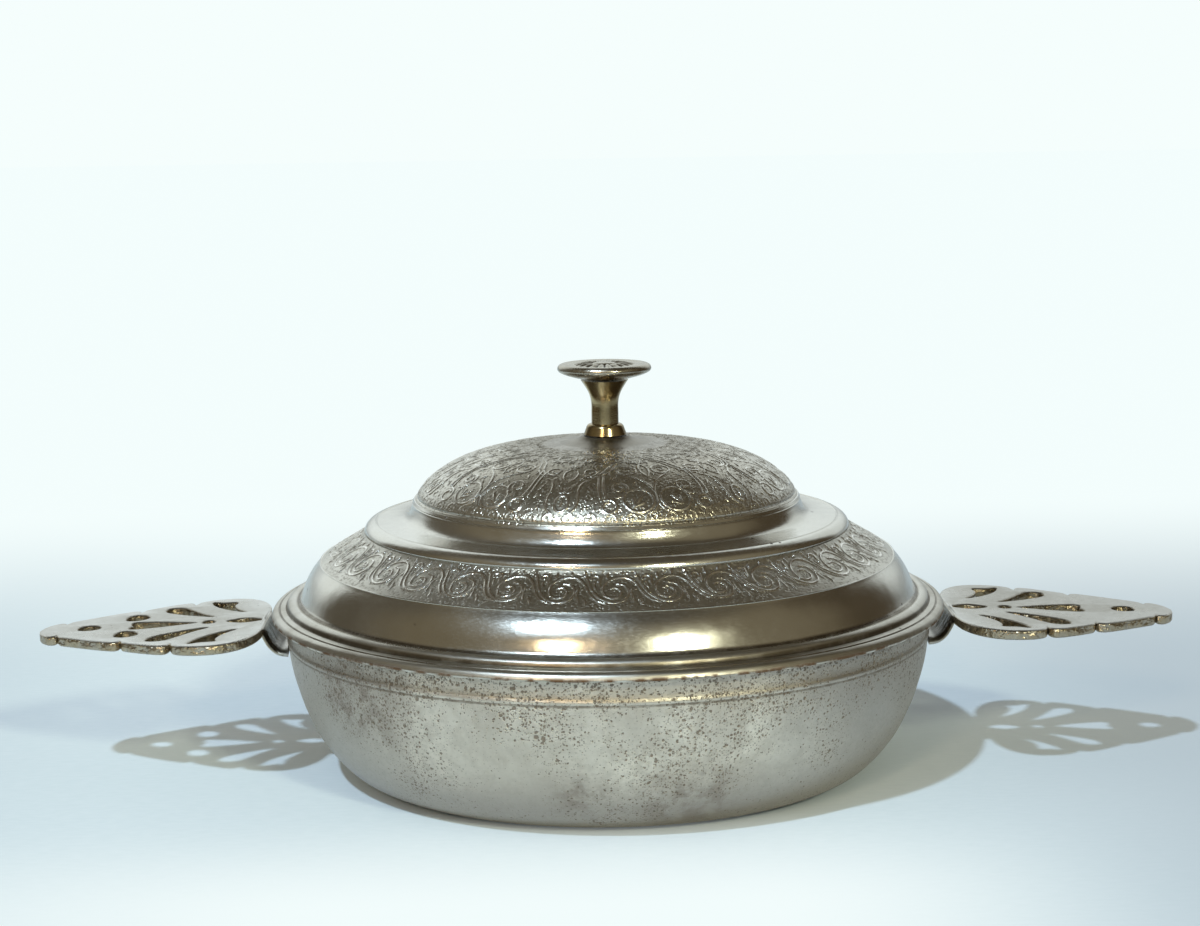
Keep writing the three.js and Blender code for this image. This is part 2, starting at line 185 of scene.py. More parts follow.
COLLAR_SHARES = [(0.1, 0.2), (0.21, 0.42), (0.3, 0.6), (0.38, 0.76), (0.52, 0.9), (0.75, 0.99)]
STEM_SHARES = [(0, 0.03), (0, 0.25), (0, 0.476), (0.114, 0.625), (0.355, 0.762), (0.714, 0.9)]

# Wear, dirt and painted shade: where they set in and where they are full, as heights or as distances from the
# axis
RIM_WEAR = (48.2, 46.8)
RIM_DIRT = (44.2, 43.3)
HANDLED_AND_SHADED_TOP = (40.0, 24.0)
BARE_TOP = (18.5, 15.0)
STEM_SHADE = (8.5, 5.5)
# Lines of painted shade by radius or height and half width, and the bowl's stains by place and radius
LID_DARK_LINES = [(87.4, 0.42), (85.45, 0.5), (82.25, 0.7)]
BOWL_DARK_LINE = (BOWL_HEIGHT - BOWL_LINE_BELOW_RIM - 0.85, 0.5)
BOWL_STAINS = [((-8.5, -77, 13), 11), ((18, -74, 8), 20), ((-64, -56, 31), 20)]
# The bowl's line of painted shade fades in between these radii, so that it stays off the inner wall
BOWL_OUTER_WALL = (83.8, 84.6)

# Camera: place in millimetres, heading, tilt and roll in degrees, lens for a 36 mm wide frame
CAMERA_PLACE = (-12.93, -649.88, 179.23)
CAMERA_HEADING = 1.007
CAMERA_TILT = 8.578
CAMERA_ROLL = -0.878
CAMERA_LENS = 74.05
CAMERA_FRAME = 36.0

# Stage: the floor's half width, and far lamps by name, bearing from the front towards +X, elevation and
# width in degrees, strength and colour
FLOOR_REACH = 6000.0
LAMPS = [
    ("high left lamp", -29.7, 53.2, 2.6, 1.75, (0.64, 0.82, 1.0)),
    ("right lamp", 28.0, 29.0, 7.0, 0.90, (0.97, 1.0, 0.76)),
    ("low left lamp", -20.0, 27.0, 8.0, 0.40, (1.0, 0.78, 0.50)),
]


def camera():
    """The camera's axes: its heading is turned towards +X, tilted down, then rolled about the line ahead."""
    heading, tilt, roll = (math.radians(a) for a in (CAMERA_HEADING, CAMERA_TILT, CAMERA_ROLL))
    flat = math.cos(tilt)
    ahead = np.array([math.sin(heading) * flat, math.cos(heading) * flat, -math.sin(tilt)])
    level = np.array([math.cos(heading), -math.sin(heading), 0.0])
    upright = np.cross(level, ahead)
    right = math.cos(roll) * level + math.sin(roll) * upright
    up = -math.sin(roll) * level + math.cos(roll) * upright
    data = bpy.data.cameras.new("camera")
    data.lens = CAMERA_LENS
    data.sensor_width = CAMERA_FRAME
    data.clip_start = 0.01
    seen = bpy.data.objects.new("camera", data)
    place = np.array(CAMERA_PLACE) * MM
    seen.matrix_world = Matrix([[right[i], up[i], -ahead[i], place[i]] for i in range(3)] + [[0, 0, 0, 1]])
    bpy.context.scene.collection.objects.link(seen)
    bpy.context.scene.camera = seen


def smooth(points, spacing, closed=False):
    """A smooth curve through all the points, then points at equal steps along its length.

    Each stretch between two points is three rounds of blending straight lines, with the square root of
    the distance between points as the curve's own measure.
    """
    points = np.asarray(points, float)
    ring = points if not closed else np.vstack([points, points[:1]])
    before = ring[-2] if closed else 2 * ring[0] - ring[1]
    after = ring[1] if closed else 2 * ring[-1] - ring[-2]
    held = np.vstack([before, ring, after])
    knots = np.concatenate([[0], np.cumsum(np.linalg.norm(np.diff(held, axis=0), axis=1) ** 0.5)])
    share = np.linspace(0, 1, 24, endpoint=False)[:, None]
    parts = []
    for i in range(len(ring) - 1):
        at = knots[i + 1] + (knots[i + 2] - knots[i + 1]) * share

        def blend(one, other, start, end):
            return (end - at) / (end - start) * one + (at - start) / (end - start) * other

        lines = [blend(held[k], held[k + 1], knots[k], knots[k + 1]) for k in range(i, i + 3)]
        bends = [blend(lines[k], lines[k + 1], knots[i + k], knots[i + k + 2]) for k in range(2)]
        parts.append(blend(*bends, knots[i + 1], knots[i + 2]))
    fine = np.vstack(parts + [ring[-1:]])
    along = np.concatenate([[0], np.cumsum(np.linalg.norm(np.diff(fine, axis=0), axis=1))])
    count = max(2, int(round(along[-1] / spacing)) + 1)
    at = np.linspace(0, along[-1], count)
    even = np.stack([np.interp(at, along, fine[:, k]) for k in range(fine.shape[1])], axis=1)
    return even[:-1] if closed else even


def between(start, end, shares):
    """Points placed between two ends by a table of shares, ends included."""
    start, end = np.array(start, float), np.array(end, float)
    return np.vstack([start, [start + (end - start) * np.array(s) for s in shares], end])


def offset(line, distance):
    """The line moved to the left of its direction by a distance."""
    along = np.gradient(line, axis=0)
    along /= np.linalg.norm(along, axis=1)[:, None]
    return line + distance * np.stack([-along[:, 1], along[:, 0]], axis=1)


def arc(centre, radius, start, end, count):
    """Points on a circle from one angle to another, in degrees."""
    angle = np.radians(np.linspace(start, end, count))
    return np.stack([centre[0] + radius * np.cos(angle), centre[1] + radius * np.sin(angle)], axis=1)


def add_mesh(name, places, faces):
    """A mesh object from points in millimetres and arrays of triangles or quads that turn outwards."""
    mesh = bpy.data.meshes.new(name)
    corners = np.concatenate([f.ravel() for f in faces]).astype(np.int32)
    sizes = np.concatenate([np.full(len(f), f.shape[1]) for f in faces])
    starts = np.concatenate([[0], np.cumsum(sizes)[:-1]]).astype(np.int32)
    mesh.vertices.add(len(places))
    mesh.vertices.foreach_set("co", (np.asarray(places) * MM).astype(np.float32).ravel())
    mesh.loops.add(len(corners))
    mesh.loops.foreach_set("vertex_index", corners)
    mesh.polygons.add(len(starts))
    mesh.polygons.foreach_set("loop_start", starts)
    mesh.update(calc_edges=True)
    mesh.validate()
    mesh.shade_smooth()
    piece = bpy.data.objects.new(name, mesh)
    bpy.context.scene.collection.objects.link(piece)
    return piece


def quads(low, high):
    """Quads between tables of point numbers, each row of which closes on itself."""
    corners = [low, np.roll(low, -1, axis=1), np.roll(high, -1, axis=1), high]
    return np.stack(corners, axis=2).reshape(-1, 4)


def turned(name, loop, columns, raised=None, crease=CREASE):
    """A profile of (radius, height) points carried round Z: point = (r cos a, r sin a, h).

    The profile runs anticlockwise. It closes on itself, or starts and ends on the axis, where it
    gets a pole. raised, a table of row by column, moves each point out along the profile's normal.
    """
    loop = np.asarray(loop, float)
    on_axis = loop[0, 0] == 0
    along = np.roll(loop, -1, axis=0) - np.roll(loop, 1, axis=0)
    if on_axis:
        along[0], along[-1] = loop[1] - loop[0], loop[-1] - loop[-2]
    along /= np.linalg.norm(along, axis=1)[:, None]
    lift = np.zeros((len(loop), columns)) if raised is None else raised
    radius = loop[:, :1] + along[:, 1:] * lift
    height = loop[:, 1:] - along[:, :1] * lift
    angle = 2 * np.pi * np.arange(columns) / columns
    places = np.stack([radius * np.cos(angle), radius * np.sin(angle), height], axis=2).reshape(-1, 3)
    spot = np.arange(len(places)).reshape(len(loop), columns)
    if on_axis:
        first, last = spot[1], spot[-2]
        faces = [
            quads(spot[1:-2], spot[2:-1]),
            np.stack([np.full(columns, spot[0, 0]), np.roll(first, -1), first], axis=1),
            np.stack([last, np.roll(last, -1), np.full(columns, spot[-1, 0])], axis=1),
        ]
        keep = np.ones(len(places), bool)
        keep[spot[0, 1:]] = False
        keep[spot[-1, 1:]] = False
        renumber = np.cumsum(keep) - 1
        places = places[keep]
        faces = [renumber[f] for f in faces]
    else:
        faces = [quads(spot, np.roll(spot, -1, axis=0))]
    piece = add_mesh(name, places, faces)
    piece.data.set_sharp_from_angle(angle=math.radians(crease))
    return piece


def keep_values(mesh, name, values):
    """Stores a number on each point of a mesh, for its material to read."""
    mark = mesh.attributes.new(name, "FLOAT", "POINT")
    mark.data.foreach_set("value", np.asarray(values, np.float32).ravel())


def stroke(points, widths, height=1.0):
    """A drawn line as short pieces: x, y, x, y, half width at both ends, height."""
    points = np.asarray(points, float)
    widths = np.interp(np.linspace(0, 1, len(points)), np.linspace(0, 1, len(widths)), widths)
    heights = np.full(len(points) - 1, height)
    return np.column_stack([points[:-1], points[1:], widths[:-1], widths[1:], heights])


def scroll(centre, radius, turns, start, sense, width=0.42, eye=0.16):
    """A spiral that winds in: its radius falls from full to the eye's share as the angle goes round."""
    share = np.linspace(0, 1, int(18 * turns) + 2)
    angle = math.radians(start) + sense * 2 * np.pi * turns * share
    reach = radius * (1 - (1 - eye) * share ** 0.85)
    line = np.stack([centre[0] + reach * np.cos(angle), centre[1] + reach * np.sin(angle)], axis=1)
    return stroke(line, [width, width, width * 0.8])


def vine(points, widths=(0.42,), spacing=0.8):
    """A stem drawn smoothly through points."""
    line = smooth(points, spacing)
    return stroke(line, list(widths) if len(widths) > 1 else [widths[0]] * 2)


def leaf(foot, direction, length, width, bend=0.0):
    """A tear-shaped leaf: a short arc, thin at its foot, widest at two thirds, rounded at its end."""
    share = np.linspace(0, 1, 7)
    turn = math.radians(direction) + math.radians(bend) * share
    step = length / 6
    line = np.array(foot) + np.cumsum(np.stack([np.cos(turn), np.sin(turn)], axis=1) * step, axis=0)
    return stroke(np.vstack([foot, line[:-1]]), [part * width for part in LEAF_WIDTHS])


def fan(foot, directions, length, width, bend=0.0):
    """Leaves that spread from one point, the outer ones shorter and more bent."""
    middle = np.mean(directions)
    spread = max(abs(d - middle) for d in directions) or 1
    parts = []
    for direction in directions:
        share = (direction - middle) / spread
        parts.append(leaf(foot, direction, length * (1 - 0.25 * abs(share)), width, bend * share))
    return np.vstack(parts)


def dots(centres, width):
    """Round studs."""
    return np.vstack([stroke([c, (c[0] + 0.01, c[1])], [width, width]) for c in centres])


def rosette(centre, reach, width, petals=6):
    """A ring of round studs about a middle one."""
    ring = arc(centre, reach, 0, 360, petals + 1)[:-1]
    return dots([centre, *ring], width)


def ring_line(centre, across, tall, width=0.34):
    """A closed oval."""
    turn = np.radians(np.linspace(0, 360, 25))
    line = np.stack([centre[0] + across * np.cos(turn), centre[1] + tall * np.sin(turn)], axis=1)
    return stroke(line, [width, width])


def carved(x, y, scale, strokes):
    """Height of the scrollwork at points: a stroke is a bell (1 - (d / w)^2)^2 of the distance to its line.

    x and y are the place on the drawing, scale turns drawing lengths into millimetres there, and
    where strokes meet the higher one counts.
    """
    best = np.zeros(len(x))
    ax, ay, bx, by, wa, wb, height = strokes.T
    dx, dy = bx - ax, by - ay
    long = dx * dx + dy * dy + 1e-12
    for first in range(0, len(x), POINTS_AT_ONCE):
        part = slice(first, first + POINTS_AT_ONCE)
        px, py = x[part, None], y[part, None]
        share = np.clip(((px - ax) * dx + (py - ay) * dy) / long, 0, 1)
        apart = np.hypot(px - ax - share * dx, py - ay - share * dy) * scale[part, None]
        width = wa + (wb - wa) * share
        bell = np.clip(1 - (apart / np.maximum(width, 1e-3)) ** 2, 0, 1) ** 2
        best[part] = (bell * height * np.minimum(1, width / 0.3)).max(axis=1)
    return best


def dome_strokes(width):
    """Half of one repeat of the dome's arabesque, mirrored about x = 0 and x = width.

    y is the height on the dome with circles kept round, so motifs are drawn larger towards the top.
    """
    # row of small arches with a stud in each
    middles = [width * (k + 0.5) / ARCHES for k in range(ARCHES)]
    parts = [stroke(arc((x, 2.2), 1.5, -15, 195, 10), [0.3, 0.36, 0.3], 0.5) for x in middles]
    parts += [dots([(x, 2.3) for x in middles], 0.32)]
    # lowest tier: oval with its spray at x = 0, paired stems, a leafy circle, and a fork at x = width
    parts += [
        ring_line((0, 7.2), 1.9, 2.9, 0.4),
        leaf((0, 5.4), 90, 3.0, 0.34),
        fan((0, 10.6), [90, 70, 50, 30], 4.6, 0.36, -18),
        vine([(2.6, 3.9), (4.0, 5.6), (4.4, 9.0), (4.1, 12.6), (5.0, 16.4), (7.6, 18.6)], (0.3, 0.4, 0.3)),
        dots([(6.6, 5.6), (6.7, 8.0), (6.8, 10.2), (7.0, 12.4), (7.3, 14.4)], 0.42),
        leaf((5.6, 4.2), 70, 2.2, 0.36),
        leaf((8.6, 12.0), 118, 3.0, 0.34),
        leaf((8.7, 8.4), 112, 2.8, 0.34),
        vine([(9.6, 22.8), (10.0, 17.5), (10.1, 12.5), (10.6, 9.0)], (0.3, 0.38, 0.3)),
        vine([(11.6, 23.6), (11.4, 17.5), (11.5, 12.5), (12.4, 8.6)], (0.3, 0.38, 0.3)),
        scroll((12.9, 5.9), 2.7, 1.15, 115, -1, 0.4, 0.5),
        scroll((16.2, 13.6), 2.9, 1.3, 330, 1, 0.38, 0.3),
        vine([(18.6, 12.4), (17.4, 9.8), (15.0, 9.2)], (0.36, 0.3)),
        ring_line((21.3, 8.3), 4.3, 4.3, 0.4),
        fan((19.6, 5.6), [80, 55, 30], 5.0, 0.5, 14),
        dots([(18.9, 7.8), (22.2, 5.4)], 0.34),
        vine([(19.2, 21.0), (22.6, 18.6), (25.4, 15.2), (width, 11.4), (width, 6.8)], (0.3, 0.42, 0.36)),
        vine([(width, 6.8), (25.0, 4.4), (23.4, 3.7)], (0.36, 0.3)),
        leaf((19.6, 14.2), 40, 3.4, 0.36, 20),
        leaf((14.4, 17.4), 74, 3.6, 0.36, -30),
    ]
    # second tier: scrolls on slanting double stems, with a palmette between them
    parts += [
        vine([(0, 16.6), (2.0, 19.4), (2.4, 23.4), (0, 26.8)], (0.34, 0.36)),
        fan((0, 26.8), [90, 66, 42], 6.4, 0.42, -20),
        scroll((6.6, 24.2), 3.5, 1.3, 250, 1, 0.4, 0.3),
        vine([(6.2, 20.6), (9.4, 21.4), (12.6, 26.6), (15.0, 32.6), (19.0, 36.6)], (0.36, 0.4, 0.36)),
        vine([(7.8, 19.6), (11.2, 21.0), (14.4, 25.8), (16.8, 31.6), (20.4, 35.2)], (0.3, 0.36, 0.3)),
        ring_line((20.0, 25.0), 3.5, 3.5, 0.38),
        scroll((20.0, 25.0), 2.0, 1.0, 40, 1, 0.32, 0.3),
        vine([(width, 19.6), (25.2, 23.0), (25.0, 27.4), (width, 31.0)], (0.34, 0.38)),
        fan((width, 31.0), [90, 112, 134], 7.0, 0.42, 22),
        fan((12.4, 33.0), [128, 104, 80], 5.2, 0.4, 12),
        dots([(3.6, 32.2), (5.8, 30.2), (8.4, 30.4), (16.4, 21.6), (23.6, 29.6), (width, 25.6),
              (0, 21.6)], 0.42),
        leaf((22.4, 20.6), 20, 3.4, 0.36, 30),
        leaf((10.2, 28.6), 70, 4.0, 0.36, 30),
    ]
    # leaves, curls and studs that fill the two lower tiers
    parts += [
        leaf((1.6, 13.8), 60, 3.0, 0.34, -20),
        leaf((13.2, 20.6), 84, 3.2, 0.34, 20),
        leaf((23.4, 12.4), 120, 2.6, 0.32, 20),
        leaf((3.0, 17.4), 40, 3.2, 0.34, 30),
        scroll((23.6, 34.4), 1.9, 1.0, 100, 1, 0.34, 0.4),
        scroll((3.4, 35.2), 1.9, 1.0, 80, -1, 0.34, 0.4),
        scroll((9.2, 33.4), 1.7, 1.0, 200, -1, 0.34, 0.4),
        dots([(14.4, 12.0), (13.6, 15.6), (8.6, 16.0), (9.0, 5.0), (16.2, 5.0), (16.6, 7.2), (25.4, 9.6),
              (24.8, 17.8), (21.6, 15.0), (2.2, 21.6), (5.0, 18.6), (18.4, 30.0), (22.6, 31.8), (1.9, 29.4),
              (13.2, 23.4)], 0.34),
    ]
    # third tier: a large curl, a leafy circle and a stem that arches to x = 0
    parts += [
        scroll((17.6, 41.4), 5.0, 1.35, 290, 1, 0.4, 0.25),
        ring_line((7.2, 39.4), 4.6, 4.6, 0.38),
        fan((5.4, 36.8), [78, 52, 26], 5.6, 0.42, 12),
        vine([(11.8, 39.0), (12.8, 43.4), (9.6, 48.2), (3.6, 50.8), (0, 50.4)], (0.36, 0.4, 0.34)),
        vine([(22.6, 42.4), (24.6, 46.6), (24.4, 51.6), (width, 55.0)], (0.36, 0.36)),
        fan((0, 38.4), [90, 62], 8.6, 0.42, -14),
        fan((width, 40.4), [90, 114], 7.6, 0.42, 20),
        fan((15.6, 48.6), [120, 92, 64], 7.0, 0.42),
        dots([(2.2, 45.8), (11.8, 34.6), (23.6, 37.6), (13.2, 47.6), (20.6, 48.4), (6.6, 45.6),
              (0, 34.2)], 0.4),
    ]
    # curls, leaves and studs that fill the third tier
    parts += [
        scroll((1.8, 54.2), 2.2, 1.0, 0, 1, 0.32, 0.4),
        scroll((14.2, 52.2), 2.6, 1.1, 250, 1, 0.34, 0.35),
        scroll((22.0, 52.6), 2.4, 1.0, 300, 1, 0.34, 0.35),
        leaf((17.0, 35.6), 95, 4.0, 0.36, -30),
        leaf((21.8, 46.8), 40, 5.0, 0.36, 30),
        leaf((10.6, 46.0), 60, 5.4, 0.36, 30),
        dots([(0, 47.4), (4.4, 47.6), (8.4, 44.8), (14.0, 37.8), (22.4, 39.4), (24.4, 42.6), (17.8, 46.9),
              (11.4, 50.4), (25.0, 48.4), (5.6, 51.9), (width, 51.2), (2.6, 42.6)], 0.34),
    ]
    # highest tier: two curls under long sprays
    parts += [
        ring_line((6.6, 57.6), 5.2, 5.2, 0.36),
        scroll((6.6, 57.6), 3.2, 1.1, 200, -1, 0.32, 0.25),
        scroll((19.2, 58.8), 5.8, 1.3, 160, -1, 0.36, 0.25),
        fan((0, 62.4), [90, 64], 12.0, 0.36, -12),
        fan((width, 63.4), [90, 114], 12.0, 0.36, 14),
        fan((12.8, 62.4), [112, 90, 68], 11.0, 0.36),
        vine([(0, 52.6), (1.4, 56.8), (0, 61.2)], (0.34, 0.34)),
        dots([(12.8, 54.4), (14.0, 59.6), (23.6, 68.8), (6.4, 67.4), (19.6, 67.6), (width, 58.8)], 0.36),
    ]
    return np.vstack(parts)


def band_strokes(pitch, tall):
    """One repeat of the running scroll: a stem sweeps under a flower, and another arches over it."""
    middle = pitch * 0.5
    top = tall - 0.3

    def about(points):
        """Points given across from the repeat's middle."""
        return [(middle + x, y) for x, y in points]

    under = [(-7.8, top), (-6.7, 11.4), (-5.3, 7.4), (-3.0, 4.5), (0.0, 3.3), (2.8, 4.4), (4.0, 7.2),
             (3.0, 9.9), (0.8, 10.6)]
    over = [(-2.3, 5.9), (-2.9, 8.4), (-1.9, 11.2), (0.9, 13.0), (4.0, 12.9), (6.3, 10.6), (7.6, 7.2),
            (9.7, 4.2), (12.2, 3.0)]
    hook = [(-2.3, 5.9), (-0.6, 4.9), (1.5, 5.7), (2.0, 7.5), (0.9, 8.9), (-0.8, 8.7)]
    leaves = [
        (-3.6, 9.2, 96, 4.6, 0.46, -34), (-4.5, 8.4, 116, 3.6, 0.4, -40), (-1.4, 12.3, 110, 2.6, 0.4, -50),
        (5.0, 9.2, 250, 3.6, 0.4, 40), (4.9, 6.4, 262, 3.0, 0.38, 36), (6.0, 5.6, 290, 2.6, 0.34, 24),
        (6.9, 4.4, 272, 2.2, 0.34, 10), (2.3, 13.4, 62, 1.8, 0.36, 40),
    ]
    parts = [
        vine(about(under), (0.3, 0.44, 0.44, 0.3)),
        vine(about(over), (0.3, 0.44, 0.44, 0.26)),
        vine(about(hook), (0.34, 0.36)),
        rosette((middle + 0.1, 7.0), 0.85, 0.36, 5),
        stroke(arc((middle - 4.8, 12.6), 1.25, -60, 200, 12), [0.34, 0.4, 0.34]),
        dots(about([(-5.0, 12.5), (6.3, 13.6), (-8.2, 8.4)]), 0.42),
    ]
    parts += [leaf((middle + x, y), *rest) for x, y, *rest in leaves]
    one = np.vstack(parts)
    shifted = [one + np.array([k * pitch, 0, k * pitch, 0, 0, 0, 0]) for k in (-1, 0, 1)]
    return np.vstack(shifted)


def level_height(line, unit):
    """Height of each profile point on the drawing: unit times the sum of step / radius.

    On this drawing circles stay round.
    """
    step = np.linalg.norm(np.diff(line, axis=0), axis=1)
    middle = (line[1:, 0] + line[:-1, 0]) / 2
    return np.concatenate([[0], np.cumsum(step / middle)]) * unit


def dome_relief(line, up, columns):
    """Relief table of part of the dome, for profile points and their heights on the drawing.

    Every sector is folded on its half: column k and its mirror image read the same drawing.
    """
    unit = LID_DOME_FOOT[0]
    half = columns // DOME_SECTORS // 2
    width = unit * math.pi / DOME_SECTORS
    x = np.tile(width * np.arange(half + 1) / half, len(line))
    y = np.repeat(up, half + 1)
    scale = np.repeat(line[:, 0] / unit, half + 1)
    height = carved(x, y, scale, dome_strokes(width)).reshape(len(line), half + 1)
    column = (np.arange(columns) - columns * DOME_TURN // 360) % (2 * half)
    return height[:, np.minimum(column, 2 * half - column)]


def band_relief(line):
    """Relief table of the scroll band: one repeat, copied round."""
    unit = LID_SHOULDER[0]
    pitch = 2 * math.pi * unit / BAND_UNITS
    up = level_height(line, unit)
    x = np.tile(pitch * np.arange(BAND_COLUMNS_PER_UNIT) / BAND_COLUMNS_PER_UNIT, len(line))
    y = np.repeat(up, BAND_COLUMNS_PER_UNIT)
    scale = np.repeat(line[:, 0] / unit, BAND_COLUMNS_PER_UNIT)
    height = carved(x, y, scale, band_strokes(pitch, up[-1])).reshape(len(line), BAND_COLUMNS_PER_UNIT)
    return np.tile(height, (1, BAND_UNITS))


def at_seat(points):
    """Points of the lid, moved from heights above the seat to heights above the table."""
    return np.asarray(points, float) + [0, LID_SEAT]


def scrolled(name, face, below, lift, crease):
    """A turned ring with scrollwork on its face: the lifts belong to the face, the wall below is plain."""
    loop = np.vstack([face, below])
    raised = np.zeros((len(loop), lift.shape[1]))
    raised[:len(face)] = lift
    piece = turned(name, loop, lift.shape[1], raised, crease)
    keep_values(piece.data, "relief", np.clip(raised / RELIEF, 0, 1))
    return piece


def rim_and_band(band, shoulder):
    """Rim, groove, bead, plain band and the fine ridge at its top, then back inside to the seat."""
    rim = smooth(at_seat(LID_RIM_PROFILE), 0.12)
    bead = smooth(at_seat(LID_BEAD_PROFILE), 0.15)
    under = offset(band, LID_WALL)[::-6]
    return turned("lid_rim_and_band", np.vstack([
        rim, at_seat(LID_RIM_GROOVE), bead, band[1:-1], shoulder + np.array(SHOULDER_STEPS),
        under[1:-1], at_seat(LID_SEAT_EDGE),
    ]), LID_COLUMNS)


def scroll_rings(engraved):
    """The running scroll on two rings, flat at the edges of the band."""
    count = len(engraved)
    edge = np.clip(np.minimum(np.arange(count), np.arange(count)[::-1]) / 3, 0, 1)
    lift = band_relief(engraved) * RELIEF * edge[:, None]
    pieces = []
    for name, first, last in (("lower", 0, count // 2), ("upper", count // 2, count - 1)):
        face = engraved[first:last + 1]
        below = offset(face, LID_WALL)[::-9]
        pieces.append(scrolled("lid_scrolls_" + name, face, below, lift[first:last + 1], BAND_CREASE))
    return pieces


def roll_ring(roll, flange, crown):
    """Groove, roll and the thin edge at its top."""
    roll = roll[roll[:, 1] > flange[1] + 0.65]
    return turned("lid_roll", np.vstack([
        flange + np.array(FLANGE_STEPS), roll[:-2], crown + np.array(CROWN_STEPS),
        [flange + [-1.2, -LID_WALL]],
    ]), LID_COLUMNS)


def cove_ring(cove, crown, dome_foot):
    """Cove from the crown to the turned lines at the dome's foot."""
    cove = cove[cove[:, 1] < dome_foot[1] - 1.1]
    return turned("lid_cove", np.vstack([
        crown + np.array(COVE_START_STEPS), cove[1:], dome_foot + np.array(DOME_FOOT_STEPS),
        offset(cove, LID_WALL)[::-5],
    ]), LID_COLUMNS)


def dome_rings(dome):
    """The arabesque on four rings, finer lower down.

    The relief starts above the dome's foot, sinks to half its height on the way up and ends at the plain
    ring round the patch. A turned line, a bell-shaped groove, runs under it.
    """
    up = level_height(dome, LID_DOME_FOOT[0])
    count = len(dome)
    place = np.arange(count)
    fade = np.clip((place - DOME_RELIEF_ROW) / 3, 0, 1) * np.clip((dome[:, 0] - LID_PLAIN_RADIUS) / 1.2, 0, 1)
    fade *= 1 - DOME_TOP_SINK * place / count
    turned_line = -TURNED_LINE_DEPTH * np.exp(-(place - DOME_LINE_ROW) ** 2)
    pieces = []
    for k, (start, stop, columns) in enumerate(DOME_RINGS):
        part = slice(int(start * (count - 1)), int(stop * (count - 1)) + 1)
        face = dome[part]
        lift = dome_relief(face, up[part], columns) * fade[part, None] * RELIEF + turned_line[part, None]
        below = offset(face, LID_WALL)[::-11]
        pieces.append(scrolled("lid_dome_" + str(k + 1), face, below, lift, DOME_CREASE))
    return pieces


def patch_ring(patch, top):
    """The plain patch that rises to the knob, with the stud's bore."""
    mound = smooth(between(patch, top, MOUND_SHARES), 0.25)
    floor = patch[1] - LID_WALL
    return turned("lid_patch", np.vstack([
        [(STUD_BORE_RADIUS, floor), (patch[0], floor), (patch[0], patch[1] - 0.1)],
        mound, [(STUD_BORE_RADIUS, top[1])],
    ]), PATCH_COLUMNS)


def lid_pieces():
    """The lid's rings and their finishes, from the rim in: each is a closed turned solid, 2 mm thick."""
    band_foot, shoulder, flange = at_seat([LID_BAND_FOOT, LID_SHOULDER, LID_FLANGE])
    crown, dome_foot, patch, top = at_seat([LID_CROWN, LID_DOME_FOOT, LID_PATCH_EDGE, LID_MOUND_EDGE])
    band = smooth(between(band_foot, shoulder, BAND_SHARES), 0.5)
    engraved = smooth(between(shoulder, flange, ENGRAVED_BAND_SHARES), 0.25)
    roll = smooth(between(flange, crown, ROLL_SHARES), 0.25)
    cove = smooth(between(crown, dome_foot, COVE_SHARES), 0.4)
    dome = smooth(between(dome_foot, patch, DOME_SHARES), 0.24)
    return [
        (rim_and_band(band, shoulder), "polished"),
        *[(ring, "engraved") for ring in scroll_rings(engraved)],
        (roll_ring(roll, flange, crown), "polished"),
        (cove_ring(cove, crown, dome_foot), "polished"),
        *[(ring, "engraved") for ring in dome_rings(dome)],
        (patch_ring(patch, top), "worn"),
    ]


def bowl():
    """The bowl's loop: foot, bellied side, raised line, rim, then the inside back down to the middle."""
    foot, rim = (BOWL_FOOT_RADIUS, 0.0), (BOWL_RIM_RADIUS, BOWL_HEIGHT)
    side = smooth(np.vstack([between(foot, rim, BOWL_WALL_SHARES)[:-1], [BOWL_SIDE_TOP]]), 0.8)
    line = np.array(BOWL_LINE_STEPS) + [BOWL_RIM_RADIUS, BOWL_HEIGHT - BOWL_LINE_BELOW_RIM]
    lip = np.array(BOWL_LIP_STEPS) + rim
    inside = offset(side, BOWL_WALL)
    inside = inside[inside[:, 1] > BOWL_WALL + 0.15][::-2]
    floor = [(BOWL_FOOT_RADIUS, BOWL_WALL), (BOWL_FLOOR_RING, BOWL_WALL), (0.0, BOWL_WALL)]
    base = [(0.0, 0.0), (BOWL_FLOOR_RING, 0.0)]
    return turned("bowl_body_shell", np.vstack([base, side, line, lip, inside, floor]), BOWL_COLUMNS)


def ear_outlines(left):
    """The ear's outline and its holes as closed lines of (distance out from the root, sideways)."""
    def place(share, side=1):
        """A share of the ear's length and half width as a point."""
        return (share[0] * EAR_LENGTH, side * share[1] * EAR_HALF_WIDTH)

    half = np.vstack([smooth([place(s) for s in lobe], EAR_OUTLINE_SPACING) for lobe in EAR_LOBE_SHARES])
    outline = np.vstack([half, half[-2::-1] * [1, -1]])
    holes = []
    for hole in EAR_MIDDLE_HOLE_SHARES:
        upper = [place(s) for s in hole]
        lower = [place(s, -1) for s in hole[-2:0:-1]]
        holes.append(smooth(upper + lower, EAR_HOLE_SPACING, closed=True))
    for hole in EAR_SIDE_HOLE_SHARES + (EAR_EXTRA_HOLE_SHARES if left else []):
        for side in (1, -1):
            holes.append(smooth([place(s, side) for s in hole], EAR_HOLE_SPACING, closed=True))
    return outline, holes


